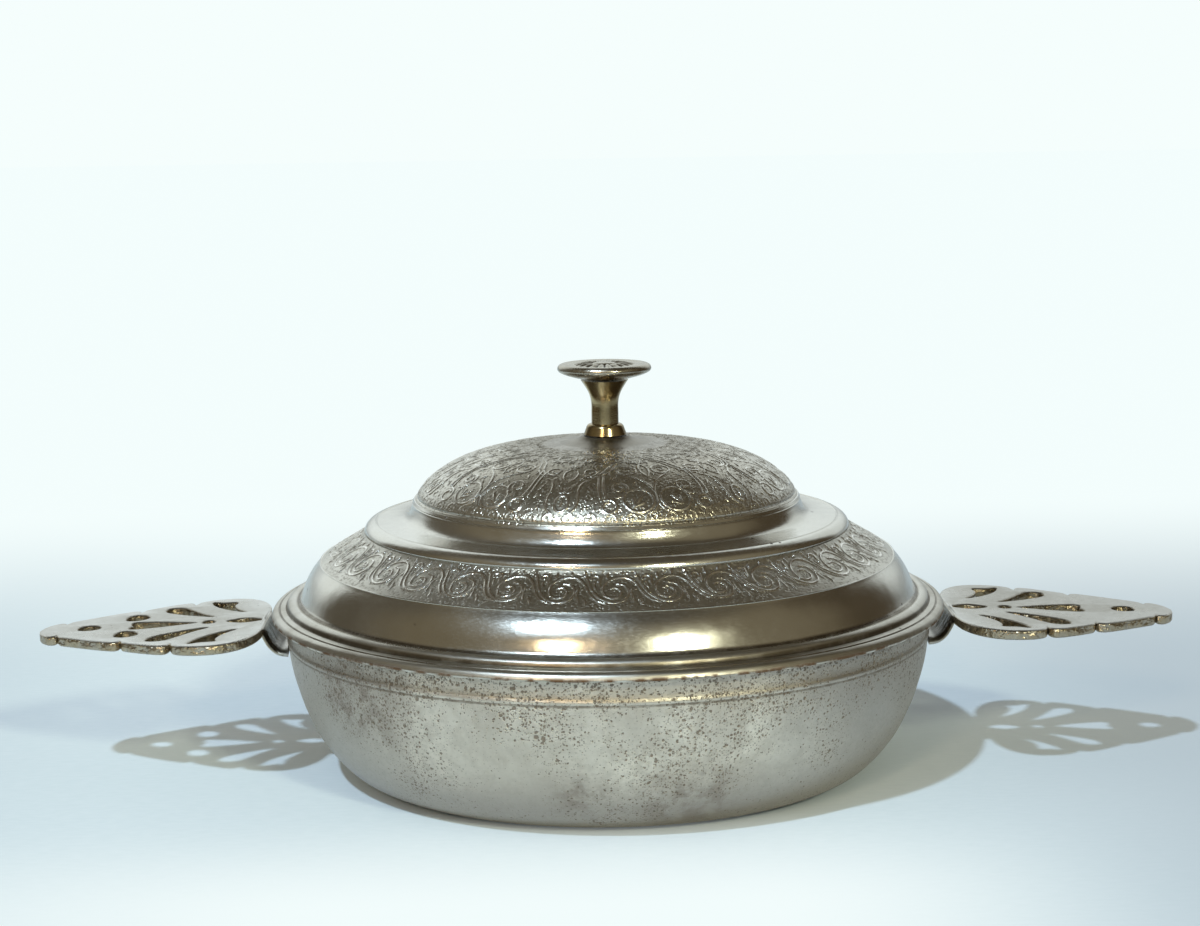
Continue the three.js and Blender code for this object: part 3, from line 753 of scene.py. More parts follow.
def plate(name, outline, holes):
    """A flat plate filled inside its outline, with a rounded edge, as a mesh and its points about z = 0."""
    curve = bpy.data.curves.new(name, "CURVE")
    curve.dimensions = "2D"
    curve.fill_mode = "BOTH"
    curve.extrude = EAR_THICKNESS / 2 - EAR_EDGE_ROUND
    curve.bevel_depth = EAR_EDGE_ROUND
    curve.bevel_resolution = 3
    curve.offset = -EAR_EDGE_ROUND
    for line in [outline, *holes]:
        spline = curve.splines.new("POLY")
        spline.points.add(len(line) - 1)
        flat = np.column_stack([line, np.zeros(len(line)), np.ones(len(line))])
        spline.points.foreach_set("co", flat.ravel())
        spline.use_cyclic_u = True
    shape = bpy.data.objects.new(name, curve)
    bpy.context.scene.collection.objects.link(shape)
    mesh = bpy.data.meshes.new_from_object(shape.evaluated_get(bpy.context.evaluated_depsgraph_get()))
    bpy.data.objects.remove(shape)
    places = np.empty(len(mesh.vertices) * 3, np.float32)
    mesh.vertices.foreach_get("co", places)
    return mesh, places.reshape(-1, 3).astype(float)


def ear(name, left):
    """The pierced plate, tilted down about its root, its top face passing through the root's height.

    recess, kept for the material, is 1 on a hole's edge and 0 from 2 mm off it.
    """
    outline, holes = ear_outlines(left)
    mesh, places = plate(name, outline, holes)
    rims = np.vstack(holes)
    apart = np.hypot(places[:, None, 0] - rims[None, :, 0], places[:, None, 1] - rims[None, :, 1])
    recess = np.clip(1 - apart.min(axis=1) / EAR_RECESS_REACH, 0, 1)
    droop = math.radians(EAR_DROOP_DEGREES)
    out, side, up = places[:, 0], places[:, 1], places[:, 2] - EAR_THICKNESS / 2
    placed = np.column_stack([
        EAR_ROOT_RADIUS + out * math.cos(droop) + up * math.sin(droop),
        side,
        EAR_TOP_HEIGHT - out * math.sin(droop) + up * math.cos(droop),
    ])
    if left:
        placed[:, :2] *= -1
    mesh.vertices.foreach_set("co", (placed * MM).astype(np.float32).ravel())
    mesh.update()
    mesh.shade_smooth()
    mesh.set_sharp_from_angle(angle=math.radians(EAR_CREASE))
    keep_values(mesh, "recess", recess)
    piece = bpy.data.objects.new(name, mesh)
    bpy.context.scene.collection.objects.link(piece)
    return piece


def lug(name, left):
    """A curled scoop: a path seen from the side, carried across the neck's width and hollowed in its middle.

    Its end lies on the bowl's wall, a circle of the wall's radius plus the seam, so it stops at
    x = sqrt((R + seam)^2 - y^2). recess, kept for the material, is 2 in the depth of the hollow.
    """
    start = np.array([EAR_ROOT_RADIUS, EAR_TOP_HEIGHT])
    end = np.array([BOWL_RIM_RADIUS, EAR_TOP_HEIGHT - LUG_DROP])
    path = smooth([start + (end - start) * np.array(s) for s in LUG_PATH_SHARES], 0.5)
    low = offset(path, LUG_THICKNESS)
    across = np.linspace(-1, 1, LUG_COLUMNS)
    bulge = ((1 - np.abs(across) ** 6) ** 0.5)[None, :, None]
    top, foot = path[:, None, :], low[:, None, :]
    middle = (top + foot) / 2
    upper = middle + (top - middle) * bulge
    under = middle + (foot - middle) * bulge
    ring = np.concatenate([upper, under[:, -2:0:-1]], axis=1)
    share = np.concatenate([across, across[-2:0:-1]])
    curl = np.sin(np.pi * np.linspace(0, 1, len(path)))[:, None]
    dip = curl * (1 - share ** 2)[None, :]
    side = np.broadcast_to(share * LUG_HALF_WIDTH, ring.shape[:2])
    wall = np.sqrt((BOWL_RIM_RADIUS + LUG_SEAM) ** 2 - side ** 2)
    places = np.stack([np.maximum(ring[..., 0], wall), side, ring[..., 1] - LUG_HOLLOW * dip], axis=2)
    rows, columns = places.shape[:2]
    places = places.reshape(-1, 3)
    spot = np.arange(rows * columns).reshape(rows, columns)
    first, last = spot[0], spot[-1]
    ends = np.vstack([places[first].mean(0), places[last].mean(0)])
    faces = [
        np.roll(quads(spot[1:], spot[:-1]), 1, axis=1),
        np.stack([np.full(columns, rows * columns), first, np.roll(first, -1)], axis=1),
        np.stack([np.full(columns, rows * columns + 1), np.roll(last, -1), last], axis=1),
    ]
    places = np.vstack([places, ends])
    if left:
        places[:, :2] *= -1
    piece = add_mesh(name, places, faces)
    piece.data.set_sharp_from_angle(angle=math.radians(LUG_CREASE))
    # Kept as recess: 2 deep in the curl of the upper face, where the material paints shade in the hollow
    shade = 2 * np.minimum(1, 1.3 * curl) * (np.arange(columns) < len(across))[None, :]
    keep_values(piece.data, "recess", np.append(shade.ravel(), [0.0, 0.0]))
    return piece


def stem():
    """Stem: stud below the dome, rounded collar, waist and flare, all one turned loop."""
    top = STEM_FOOT + STEM_HEIGHT
    collar_top = STEM_FOOT + COLLAR_HEIGHT
    waist = (STEM_WAIST_RADIUS, collar_top)
    collar = smooth(between((COLLAR_RADIUS, STEM_FOOT), waist, COLLAR_SHARES), 0.2)
    body = smooth(between(waist, (STEM_TOP_RADIUS, top), STEM_SHARES), 0.4)
    return turned("knob_stem_turned", np.vstack([
        [(0.0, STUD_FOOT), (STUD_RADIUS, STUD_FOOT), (STUD_RADIUS, STEM_FOOT - 0.01)],
        collar[:-1], body, [(0.0, top)],
    ]), STEM_COLUMNS)


def cap():
    """Cap: shallow cone below, rounded edge, petals in a ring round a boss, raised by |sin| of the angle."""
    foot = np.array([0.0, CAP_FOOT])
    under = smooth(foot + CAP_UNDER, 0.35)
    edge = smooth(foot + CAP_EDGE, 0.15)
    top = smooth(foot + CAP_TOP, 0.16)
    boss = smooth(foot + CAP_BOSS, 0.2)
    loop = np.vstack([[foot], under, edge, top, boss, [foot + [0.0, CAP_HEIGHT]]])
    angle = 2 * np.pi * np.arange(CAP_COLUMNS) / CAP_COLUMNS
    petals = np.abs(np.sin(angle * PETALS / 2)) ** 0.7
    ring = np.clip(1 - ((loop[:, 0] - PETAL_RADIUS) / PETAL_REACH) ** 2, 0, 1) ** 0.5
    ring[:len(under) + 1 + len(edge)] = 0
    lift = PETAL_RELIEF * ring[:, None] * (petals - PETAL_FLOOR)
    piece = turned("knob_cap_petals", loop, CAP_COLUMNS, lift, CAP_CREASE)
    # shine is 1 on the petals and less between them, kept as relief for the painted shade between the petals
    shine = 1 - ring[:, None] * (1 - petals)
    shine = np.concatenate([shine[0, :1], shine[1:-1].ravel(), shine[-1, :1]])
    keep_values(piece.data, "relief", np.clip(shine, 0, 1))
    return piece


class Tree:
    """A node tree under construction: nodes are added by type, and values are set or wired by socket."""

    def __init__(self, tree):
        """Holds the tree's nodes and links."""
        self.nodes, self.links = tree.nodes, tree.links

    def feed(self, socket, value):
        """Sets a number, a vector or a colour on a socket, or wires another node's output to it."""
        if isinstance(value, tuple) and socket.type == "RGBA":
            socket.default_value = (*value, 1.0)
        elif isinstance(value, (int, float, tuple)):
            socket.default_value = value
        else:
            self.links.new(value, socket)

    def add(self, kind, *values, operation=None, **named):
        """A node, its first sockets fed with the values in order and others by their names."""
        node = self.nodes.new(kind)
        if operation:
            node.operation = operation
        for socket, value in zip(node.inputs, values):
            self.feed(socket, value)
        for name, value in named.items():
            self.feed(node.inputs[name], value)
        return node

    def math(self, operation, *values):
        """Arithmetic on numbers and outputs."""
        return self.add("ShaderNodeMath", *values, operation=operation).outputs[0]

    def times(self, one, other):
        """Two values multiplied."""
        return self.math("MULTIPLY", one, other)

    def plus(self, one, other):
        """Two values added."""
        return self.math("ADD", one, other)

    def most(self, highest, *others):
        """The highest of several values."""
        for other in others:
            highest = self.math("MAXIMUM", highest, other)
        return highest

    def ramp(self, source, low, high, out_low=0.0, out_high=1.0):
        """A value carried smoothly from one range to another."""
        node = self.add("ShaderNodeMapRange", source, low, high, out_low, out_high)
        node.interpolation_type = "SMOOTHSTEP"
        return node.outputs["Result"]

    def span(self, length, start, end, out_low=0.0, out_high=1.0):
        """A length carried smoothly from one range, given in millimetres, to another."""
        return self.ramp(length, start * MM, end * MM, out_low, out_high)

    def part(self, vector, axis):
        """One coordinate of a vector: 0 across, 1 along, 2 up."""
        return self.add("ShaderNodeSeparateXYZ", vector).outputs[axis]

    def either(self, share, one, other):
        """One shader turning into another by a share."""
        return self.add("ShaderNodeMixShader", share, one, other).outputs[0]


class Finish(Tree):
    """A material with one Principled shader and patterns on Object coordinates."""

    def __init__(self, name):
        """Starts the material and finds its shader and coordinates."""
        self.material = bpy.data.materials.new(name)
        self.material.use_nodes = True
        super().__init__(self.material.node_tree)
        self.shader = self.nodes["Principled BSDF"]
        coordinates = self.add("ShaderNodeTexCoord").outputs
        self.places, self.facing = coordinates["Object"], coordinates["Normal"]

    def noise(self, scale, detail=4.0, stretch=(1, 1, 1), rough=0.55):
        """Cloudy pattern, stretched if asked."""
        moved = self.add("ShaderNodeMapping", Vector=self.places, Scale=stretch).outputs["Vector"]
        node = self.add("ShaderNodeTexNoise", Vector=moved, Scale=scale, Detail=detail, Roughness=rough)
        return node.outputs["Fac"]

    def cells(self, scale, ragged=0.0):
        """Distance to the nearest of scattered points, shaken by a fine noise for ragged shapes."""
        shake = self.add("ShaderNodeTexNoise", Vector=self.places, Scale=scale * 1.3, Detail=2.0)
        amount = (ragged / scale,) * 3
        moved = self.add("ShaderNodeVectorMath", shake.outputs["Color"], amount, self.places,
                         operation="MULTIPLY_ADD")
        return self.add("ShaderNodeTexVoronoi", Vector=moved.outputs[0], Scale=scale).outputs["Distance"]

    def spots(self, scale, share, size, crowd, ragged=0.8):
        """Scattered round spots of many sizes, scale of them to a metre, size as a share of their spacing.

        Each cell has a chance number from 0 to 1: those within the top share get a spot, the larger the
        higher the number. The crowd value, 0.5 on average, moves the chance up and down by its excess.
        """
        distance = self.cells(scale, ragged)
        chance = self.add("ShaderNodeSeparateColor", distance.node.outputs["Color"]).outputs[0]
        chance = self.plus(chance, self.ramp(crowd, 0.3, 0.7, -0.35, 0.35))
        reach = self.ramp(chance, 1.0 - share, 1.2, 0.0, size)
        return self.ramp(self.math("SUBTRACT", distance, reach), -0.09, 0.05, 1.0, 0.0)

    def height(self):
        """Height above the table, in metres, in the object's rest place."""
        return self.part(self.places, 2)

    def across(self):
        """Distance along the ears' direction, in metres, in the object's rest place."""
        return self.part(self.places, 0)

    def radius(self):
        """Distance from the bowl's axis, in metres."""
        flat = self.add("ShaderNodeVectorMath", self.places, (1.0, 1.0, 0.0), operation="MULTIPLY")
        return self.add("ShaderNodeVectorMath", flat.outputs[0], operation="LENGTH").outputs["Value"]

    def line(self, value, middle, half):
        """1 where a value is at the middle, given in millimetres, and 0 beyond half a width from it."""
        apart = self.math("ABSOLUTE", self.math("SUBTRACT", value, middle * MM))
        return self.span(apart, 0.3 * half, half, 1.0, 0.0)

    def blot(self, place, radius):
        """A soft round patch about a place given in millimetres: 1 in its middle, 0 beyond its radius."""
        middle = tuple(c * MM for c in place)
        apart = self.add("ShaderNodeVectorMath", self.places, middle, operation="DISTANCE").outputs["Value"]
        return self.span(apart, 0.15 * radius, radius, 1.0, 0.0)

    def mix(self, share, one, other):
        """One colour turning into another by a share."""
        node = self.add("ShaderNodeMix")
        node.data_type = "RGBA"
        for place, value in ((0, share), (6, one), (7, other)):
            self.feed(node.inputs[place], value)
        return node.outputs[2]

    def kept(self, name):
        """A value kept on the mesh's points."""
        node = self.add("ShaderNodeAttribute")
        node.attribute_name = name
        return node.outputs["Fac"]

    def bump(self, height, strength, distance, onto=None):
        """Fine relief of the shading alone, on top of another if given."""
        node = self.add("ShaderNodeBump", Height=height, Strength=strength, Distance=distance)
        if onto is not None:
            self.feed(node.inputs["Normal"], onto)
        return node.outputs["Normal"]

    def done(self, colour, roughness, normal, metallic=1.0):
        """Feeds the shader and gives the finished material."""
        values = {"Base Color": colour, "Roughness": roughness, "Normal": normal, "Metallic": metallic}
        for name, value in values.items():
            self.feed(self.shader.inputs[name], value)
        return self.material


def polished_pewter():
    """Lid's plain turned faces: warm grey, faint clouding, fine rubbing marks and a few dark specks."""
    f = Finish("polished pewter")
    cloud = f.noise(38, 5)
    rub = f.noise(900, 3, (1, 1, 4))
    specks = f.ramp(f.cells(260), 0.06, 0.13, 1.0, 0.0)
    rare = f.ramp(f.noise(120, 2), 0.56, 0.66)
    specks = f.times(specks, rare)
    base = f.mix(f.ramp(cloud, 0.3, 0.7), (0.64, 0.61, 0.54), (0.73, 0.705, 0.645))
    worn = f.span(f.height(), *RIM_WEAR)
    rubbed = f.times(worn, f.ramp(f.noise(75, 5), 0.35, 0.7, 0.15, 0.9))
    base = f.mix(rubbed, base, (0.46, 0.42, 0.345))
    radius = f.radius()
    # Painted shade along three grooves, two in the rim and one at the band's foot, broken up by a noise
    groove_shade = f.most(*[f.line(radius, *shade_line) for shade_line in LID_DARK_LINES])
    groove_shade = f.times(groove_shade, f.ramp(f.noise(180, 5), 0.25, 0.6, 0.45, 0.95))
    base = f.mix(groove_shade, base, (0.17, 0.14, 0.10))
    dirt = f.times(f.span(f.height(), *RIM_DIRT), f.ramp(f.noise(260, 4), 0.38, 0.6))
    base = f.mix(dirt, base, (0.20, 0.12, 0.07))
    colour = f.mix(specks, base, (0.09, 0.065, 0.045))
    rough = f.plus(f.ramp(cloud, 0.3, 0.75, 0.16, 0.23), f.ramp(rub, 0.4, 0.7, 0.0, 0.05))
    rough = f.plus(rough, f.ramp(worn, 0.0, 1.0, 0.0, 0.13))
    rough = f.plus(rough, f.ramp(dirt, 0.0, 1.0, 0.0, 0.3))
    normal = f.bump(rub, 0.05, 0.0004, f.bump(f.noise(60, 2), 0.5, 0.0006))
    normal = f.bump(f.times(specks, -1.0), 0.3, 0.0003, normal)
    return f.done(colour, rough, normal)


def engraved_pewter():
    """Lid's scrollwork: the punched ground is duller and browner, the raised lines are rubbed bright; the
    ground has a painted reflection at both sides and is darker towards the knob from handling and painted
    shade.
    """
    f = Finish("engraved pewter")
    cloud = f.noise(42, 5)
    grit = f.noise(1500, 3)
    raised = f.ramp(f.kept("relief"), 0.20, 0.80)
    punches = f.ramp(f.cells(1150, 0.5), 0.22, 0.50, 1.0, 0.0)
    punched = f.times(punches, f.ramp(raised, 0.0, 0.4, 1.0, 0.0))
    ground = f.mix(f.ramp(cloud, 0.3, 0.7), (0.49, 0.435, 0.34), (0.65, 0.595, 0.49))
    # Painted reflection: the ground lighter towards both sides, where the metal shows the pale surroundings
    aside = f.span(f.math("ABSOLUTE", f.across()), 16, 48, 0.0, 0.55)
    ground = f.mix(aside, ground, (0.82, 0.81, 0.76))
    ground = f.mix(f.ramp(punched, 0.1, 0.9, 0.0, 0.45), ground, (0.28, 0.24, 0.175))
    colour = f.mix(raised, ground, (0.90, 0.87, 0.80))
    # Darker towards the knob but kept off both sides: handling wear together with a painted dark reflection
    near_knob = f.span(f.radius(), *HANDLED_AND_SHADED_TOP, 0.0, 0.7)
    handled_and_shaded = f.times(near_knob, f.ramp(aside, 0.0, 0.3, 1.0, 0.0))
    colour = f.mix(handled_and_shaded, colour, (0.27, 0.235, 0.18))
    bare = f.span(f.radius(), *BARE_TOP)
    dull = f.mix(f.ramp(f.noise(150, 5), 0.3, 0.7), (0.25, 0.215, 0.165), (0.46, 0.42, 0.36))
    colour = f.mix(bare, colour, dull)
    rough = f.plus(f.ramp(raised, 0.0, 1.0, 0.28, 0.18), f.ramp(grit, 0.35, 0.7, 0.0, 0.08))
    normal = f.bump(grit, 0.15, 0.0003)
    return f.done(colour, rough, f.bump(f.times(punched, -1.0), 0.3, 0.0003, normal))


def pitted_pewter():
    """Bowl: matte grey, clouded, with painted shade low down and at its sides, stained, with pits thick near
    the rim.
    """
    f = Finish("pitted pewter")
    cloud = f.noise(24, 6)
    streak = f.noise(70, 5, (1, 1, 0.6))
    mottle = f.noise(260, 5, (1, 1, 1), 0.7)
    grain = f.noise(900, 4)
    height = f.height()
    crowd = f.plus(f.noise(48, 4), f.span(height, 6, 40, -0.10, 0.09))
    fine = f.spots(2000, 1.0, 0.46, crowd)
    middle = f.spots(1150, 0.85, 0.42, crowd)
    large = f.spots(600, 0.34, 0.32, crowd)
    pits = f.most(f.times(fine, 0.6), middle, large)
    base = f.mix(f.ramp(cloud, 0.34, 0.66), (0.66, 0.60, 0.51), (0.94, 0.87, 0.75))
    base = f.mix(f.ramp(streak, 0.42, 0.66, 0.0, 0.6), base, (0.58, 0.52, 0.44))
    base = f.mix(f.ramp(mottle, 0.40, 0.68, 0.0, 0.5), base, (0.52, 0.46, 0.38))
    # Painted shade: darker towards the foot
    low = f.span(height, 22, 6, 0.0, 0.85)
    base = f.mix(low, base, (0.38, 0.335, 0.295))
    # Painted shade: darker towards both sides, about a middle 4 mm towards -X
    aside = f.math("ABSOLUTE", f.plus(f.across(), 4 * MM))
    base = f.mix(f.span(aside, 26, 70, 0.0, 0.9), base, (0.44, 0.40, 0.35))
    # Painted shade in a thin line just under the raised line, on the outer wall alone
    shade_line = f.times(f.line(height, *BOWL_DARK_LINE), f.span(f.radius(), *BOWL_OUTER_WALL))
    base = f.mix(f.times(shade_line, f.ramp(mottle, 0.3, 0.6, 0.3, 0.8)), base, (0.22, 0.18, 0.135))
    stains = f.most(*[f.blot(*stain) for stain in BOWL_STAINS])
    stains = f.times(stains, f.ramp(f.noise(190, 6, (1, 1, 1), 0.65), 0.42, 0.62, 0.15, 0.75))
    base = f.mix(stains, base, (0.30, 0.25, 0.205))
    colour = f.mix(f.ramp(pits, 0.1, 0.9, 0.0, 0.8), base, (0.14, 0.10, 0.06))
    rough = f.plus(f.ramp(cloud, 0.3, 0.7, 0.38, 0.48), f.ramp(grain, 0.35, 0.7, 0.0, 0.1))
    normal = f.bump(f.times(f.plus(grain, mottle), 0.5), 0.35, 0.0006)
    normal = f.bump(f.times(pits, -1.0), 0.6, 0.0005, normal)
    return f.done(colour, rough, normal, f.ramp(pits, 0.2, 0.9, 1.0, 0.4))


def cast_pewter():
    """Ears and bezel: pale satin top, browner filed edges, dark brown inside the holes and the lugs, with
    painted shade deep in the lugs' hollows and over the right ear.
    """
    f = Finish("cast pewter")
    cloud = f.noise(55, 5)
    grain = f.noise(700, 4)
    filed = f.noise(330, 3)
    edge = f.ramp(f.math("ABSOLUTE", f.part(f.facing, 2)), 0.85, 0.45)
    recess = f.kept("recess")
    specks = f.ramp(f.cells(520, 0.7), 0.07, 0.22, 1.0, 0.0)
    specks = f.times(specks, f.ramp(f.noise(95, 3), 0.50, 0.64))
    base = f.mix(f.ramp(cloud, 0.3, 0.7), (0.62, 0.605, 0.565), (0.76, 0.75, 0.72))
    base = f.mix(f.ramp(f.noise(120, 5), 0.45, 0.7, 0.0, 0.35), base, (0.44, 0.415, 0.36))
    base = f.mix(f.ramp(f.noise(34, 4), 0.45, 0.65, 0.0, 0.35), base, (0.44, 0.41, 0.35))
    # Painted shade over the right ear, the one on +X
    base = f.mix(f.span(f.across(), 88, 100, 0.0, 0.6), base, (0.43, 0.40, 0.35))
    base = f.mix(f.times(edge, f.ramp(filed, 0.3, 0.6, 0.6, 1.0)), base, (0.46, 0.38, 0.26))
    base = f.mix(f.ramp(recess, 0.05, 0.9, 0.0, 0.5), base, (0.32, 0.28, 0.21))
    base = f.mix(f.times(edge, f.ramp(recess, 0.55, 0.75)), base, (0.27, 0.215, 0.14))
    # Painted shade deep in the lugs' hollows, where recess passes 1
    base = f.mix(f.ramp(recess, 1.05, 1.9, 0.0, 0.9), base, (0.10, 0.085, 0.06))
    colour = f.mix(f.ramp(specks, 0.2, 0.9, 0.0, 0.8), base, (0.13, 0.095, 0.06))
    rough = f.plus(f.ramp(cloud, 0.3, 0.7, 0.24, 0.34), f.ramp(grain, 0.35, 0.7, 0.0, 0.08))
    normal = f.bump(grain, 0.16, 0.0006)
    return f.done(colour, rough, f.bump(f.times(filed, edge), 0.8, 0.0020, normal))


def knob_pewter():
    """Cap: greyer, handled metal, darker in patches, with painted shade between the petals."""
    f = Finish("knob pewter")
    cloud = f.noise(160, 5)
    grain = f.noise(1400, 3)
    colour = f.mix(f.ramp(cloud, 0.3, 0.7), (0.40, 0.355, 0.275), (0.58, 0.535, 0.45))
    # Painted shade between the petals
    colour = f.mix(f.ramp(f.kept("relief"), 0.85, 0.35), colour, (0.10, 0.08, 0.055))
    rough = f.plus(f.ramp(cloud, 0.3, 0.7, 0.20, 0.32), f.ramp(grain, 0.35, 0.7, 0.0, 0.06))
    return f.done(colour, rough, f.bump(grain, 0.15, 0.0003))


def worn_pewter():
    """Patch under the knob: dull brown-grey, where polish never reached, with painted shade round the stem's
    foot.
    """
    f = Finish("worn pewter")
    cloud = f.noise(150, 5)
    grain = f.noise(1300, 3)
    colour = f.mix(f.ramp(cloud, 0.3, 0.7), (0.22, 0.19, 0.145), (0.44, 0.40, 0.34))
    # Painted shade round the stem's foot
    colour = f.mix(f.span(f.radius(), *STEM_SHADE, 0.0, 0.8), colour, (0.13, 0.105, 0.07))
    return f.done(colour, f.ramp(cloud, 0.3, 0.7, 0.32, 0.44), f.bump(grain, 0.2, 0.0003))


def warm_metal():
    """Stem, washer and nut: dark olive-yellow metal, browner in its clouds."""
    f = Finish("warm metal")
    cloud = f.noise(130, 5, (1, 1, 0.6))
    turning = f.noise(1200, 3, (0.2, 0.2, 5))
    colour = f.mix(f.ramp(cloud, 0.3, 0.7), (0.26, 0.195, 0.10), (0.56, 0.445, 0.25))
    rough = f.plus(f.ramp(cloud, 0.3, 0.7, 0.22, 0.13), f.ramp(turning, 0.4, 0.7, 0.0, 0.05))
    return f.done(colour, rough, f.bump(turning, 0.08, 0.0003))


def paper_floor():
    """A pale floor that fades to white in front and far away, with painted shade towards both sides, more on
    the right.

    White is laid on for the camera alone. In the metal the floor's far sides are dim, as the room is.
    """
    f = Finish("paper floor")
    grain = f.noise(220, 4, (1, 3, 1))
    colour = f.mix(f.ramp(grain, 0.3, 0.7), (0.79, 0.87, 0.905), (0.82, 0.895, 0.93))
    across, along = f.part(f.places, 0), f.part(f.places, 1)
    # Painted shade: darker towards both sides, more towards +X
    colour = f.mix(f.span(across, 50, 180, 0.0, 0.9), colour, (0.56, 0.61, 0.66))
    colour = f.mix(f.span(across, -120, -220, 0.0, 0.5), colour, (0.62, 0.70, 0.75))
    f.feed(f.shader.inputs["Base Color"], colour)
    f.shader.inputs["Roughness"].default_value = 0.9
    f.shader.inputs["Specular IOR Level"].default_value = 0.1

    distance = f.add("ShaderNodeVectorMath", f.places, operation="LENGTH").outputs["Value"]
    front = f.times(f.span(along, -45, -125, 0.0, 0.95), f.span(across, 130, 30))
    front = f.times(front, f.span(across, -200, -60, 0.3, 1.0))
    fade = f.most(front, f.span(along, 90, 420), f.span(distance, 300, 750))
    beside = f.ramp(f.math("DIVIDE", f.math("ABSOLUTE", across), distance), 0.45, 0.80)
    dimmed = f.times(f.span(distance, 400, 600), beside)

    ray = f.add("ShaderNodeLightPath").outputs
    white = f.add("ShaderNodeEmission", Color=(0.90, 0.985, 0.98)).outputs[0]
    dim = f.add("ShaderNodeEmission", Color=(0.10, 0.082, 0.05)).outputs[0]
    surface = f.either(f.times(dimmed, ray["Is Glossy Ray"]), f.shader.outputs[0], dim)
    surface = f.either(f.times(fade, ray["Is Camera Ray"]), surface, white)
    f.feed(f.nodes["Material Output"].inputs["Surface"], surface)

    corners = np.array([(-1, -1, 0), (1, -1, 0), (1, 1, 0), (-1, 1, 0)]) * FLOOR_REACH
    floor = add_mesh("paper_floor", corners, [np.array([[0, 1, 2, 3]])])
    floor.data.materials.append(f.material)


def lamp(name, sideways, rise, width, power, colour):
    """A far lamp at a bearing from the front towards +X and at an elevation, turned to face the object."""
    data = bpy.data.lights.new(name, "SUN")
    data.angle = math.radians(width)
    data.energy = power
    data.color = colour
    bearing, up = math.radians(sideways), math.radians(rise)
    back = np.array([math.sin(bearing) * math.cos(up), -math.cos(bearing) * math.cos(up), math.sin(up)])
    side = np.cross([0, 0, 1], back)
    side /= np.linalg.norm(side)
    over = np.cross(back, side)
    placed = bpy.data.objects.new(name, data)
    placed.matrix_world = Matrix([[side[i], over[i], back[i], 0] for i in range(3)] + [[0, 0, 0, 1]])
    bpy.context.scene.collection.objects.link(placed)


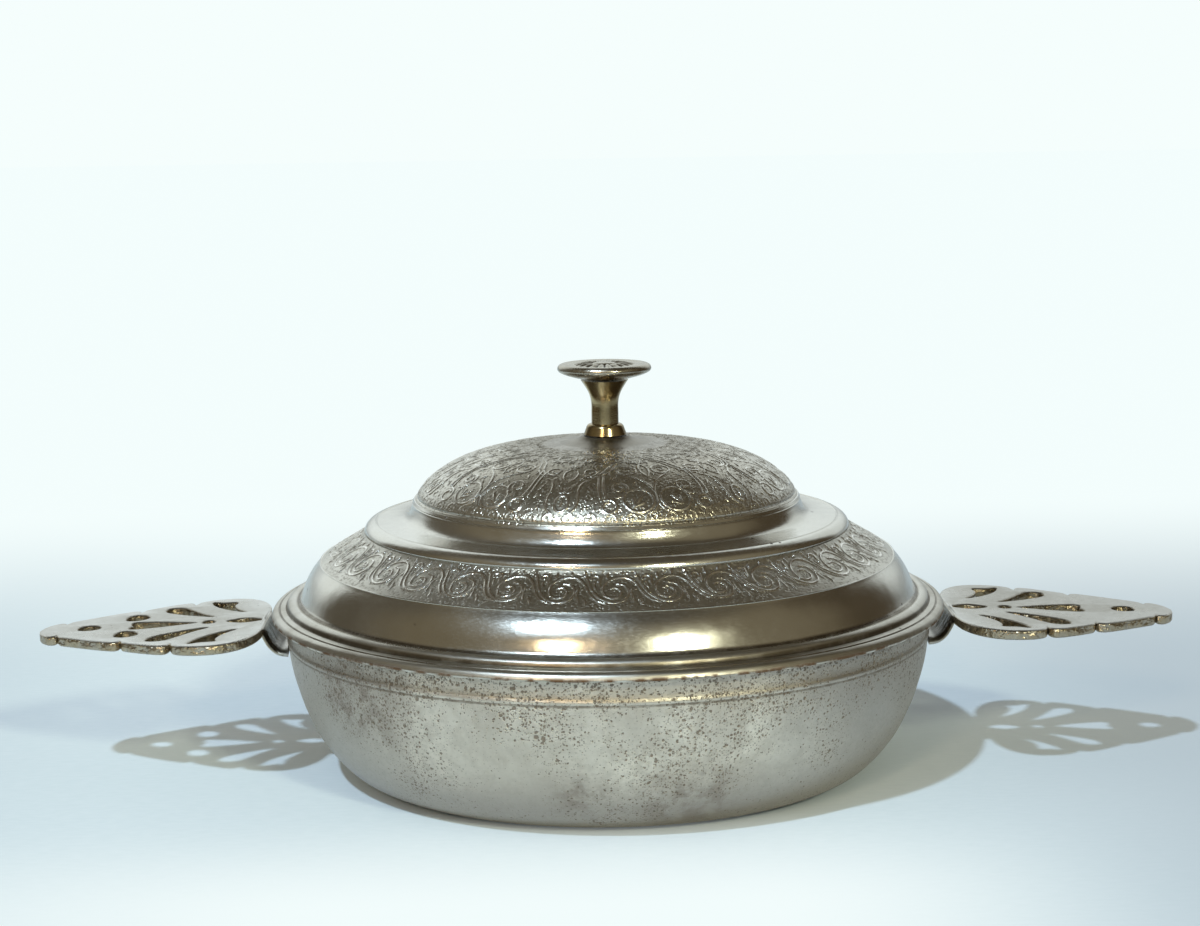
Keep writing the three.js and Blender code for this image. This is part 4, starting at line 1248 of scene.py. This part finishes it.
def surround():
    """White for the camera, a soft even light for the floor and other matte faces, and a room in the metal.

    The room has white paper behind the object, a little brighter higher up and to the left, dim warm
    walls, lighter towards the front, and a darker ceiling.
    """
    world = bpy.data.worlds.new("surround")
    bpy.context.scene.world = world
    world.use_nodes = True
    tree = Tree(world.node_tree)
    tree.nodes.clear()

    def step(value, low, high):
        """Rises smoothly from 0 to 1 between two angles in degrees."""
        return tree.ramp(value, math.radians(low), math.radians(high))

    def backdrop(colour, strength=1.0):
        """A light of one colour from everywhere."""
        return tree.add("ShaderNodeBackground", Color=colour, Strength=strength).outputs[0]

    towards = tree.add("ShaderNodeTexCoord").outputs["Generated"]
    x, y, z = tree.add("ShaderNodeSeparateXYZ", towards).outputs
    sideways = tree.math("ABSOLUTE", tree.math("ARCTAN2", x, y))
    rise = tree.math("ARCSINE", z)
    behind = tree.times(step(sideways, 51, 41), step(rise, 42, 34))
    paper_light = tree.math("MULTIPLY_ADD", step(rise, 0, 13), 0.56, 0.46)
    to_left = tree.math("MULTIPLY_ADD", tree.ramp(x, 0.0, 0.5), -0.22, 1.0)
    paper_light = tree.times(paper_light, to_left)
    lit_wall = tree.times(step(sideways, 68, 100), step(rise, 2, 20))

    right_wall, left_wall = backdrop((0.070, 0.054, 0.033)), backdrop((0.105, 0.093, 0.070))
    walls = tree.either(tree.ramp(x, 0.15, -0.45), right_wall, left_wall)
    walls = tree.either(lit_wall, walls, backdrop((0.175, 0.150, 0.100)))
    room = tree.either(step(rise, 48, 66), walls, backdrop((0.075, 0.064, 0.044)))
    room = tree.either(behind, room, backdrop((0.95, 1.04, 1.05), paper_light))
    ray = tree.add("ShaderNodeLightPath").outputs
    light = tree.either(ray["Is Glossy Ray"], backdrop((0.98, 1.0, 0.96), 0.36), room)
    light = tree.either(ray["Is Camera Ray"], light, backdrop((0.915, 0.99, 0.98)))
    tree.add("ShaderNodeOutputWorld", Surface=light)


# Putting it together

bpy.context.scene.view_settings.view_transform = "Standard"
camera()
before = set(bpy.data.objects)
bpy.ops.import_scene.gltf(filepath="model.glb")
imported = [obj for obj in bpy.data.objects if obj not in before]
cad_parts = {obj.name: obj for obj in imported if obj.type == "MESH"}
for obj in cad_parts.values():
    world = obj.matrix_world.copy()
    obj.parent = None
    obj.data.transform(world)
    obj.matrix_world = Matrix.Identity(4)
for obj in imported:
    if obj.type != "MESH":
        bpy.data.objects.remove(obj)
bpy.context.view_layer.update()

finishes = {
    "polished": polished_pewter(),
    "engraved": engraved_pewter(),
    "pitted": pitted_pewter(),
    "cast": cast_pewter(),
    "knob": knob_pewter(),
    "warm": warm_metal(),
    "worn": worn_pewter(),
}


def settle(piece, finish, body, slot, *stands_for):
    """Gives a piece its finish and its body, and hides the solid that it stands for. The slot argument is not
    used.
    """
    piece.data.materials.clear()
    piece.data.materials.append(finishes[finish])
    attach(piece, body)
    if stands_for:
        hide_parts(*stands_for)


for piece, finish in lid_pieces():
    settle(piece, finish, "lid_body", "polished_pewter", "lid_shell")
settle(bowl(), "pitted", "bowl_body", "pitted_pewter", "bowl")
for side in ("left", "right"):
    node_name = "ear_" + side
    settle(ear(node_name + "_plate", side == "left"), "cast", "bowl_body", "cast_pewter", node_name)
    settle(lug(node_name + "_lug", side == "left"), "cast", "bowl_body", "cast_pewter", node_name)
settle(stem(), "warm", "lid_body", "warm_metal", "knob_stem")
settle(cap(), "knob", "lid_body", "knob_pewter", "knob_cap")
for node_name, finish in (("lid_bezel", "cast"), ("knob_washer", "warm"), ("knob_nut", "warm")):
    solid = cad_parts[node_name].data
    solid.materials.clear()
    solid.materials.append(finishes[finish])

paper_floor()
for values in LAMPS:
    lamp(*values)
surround()
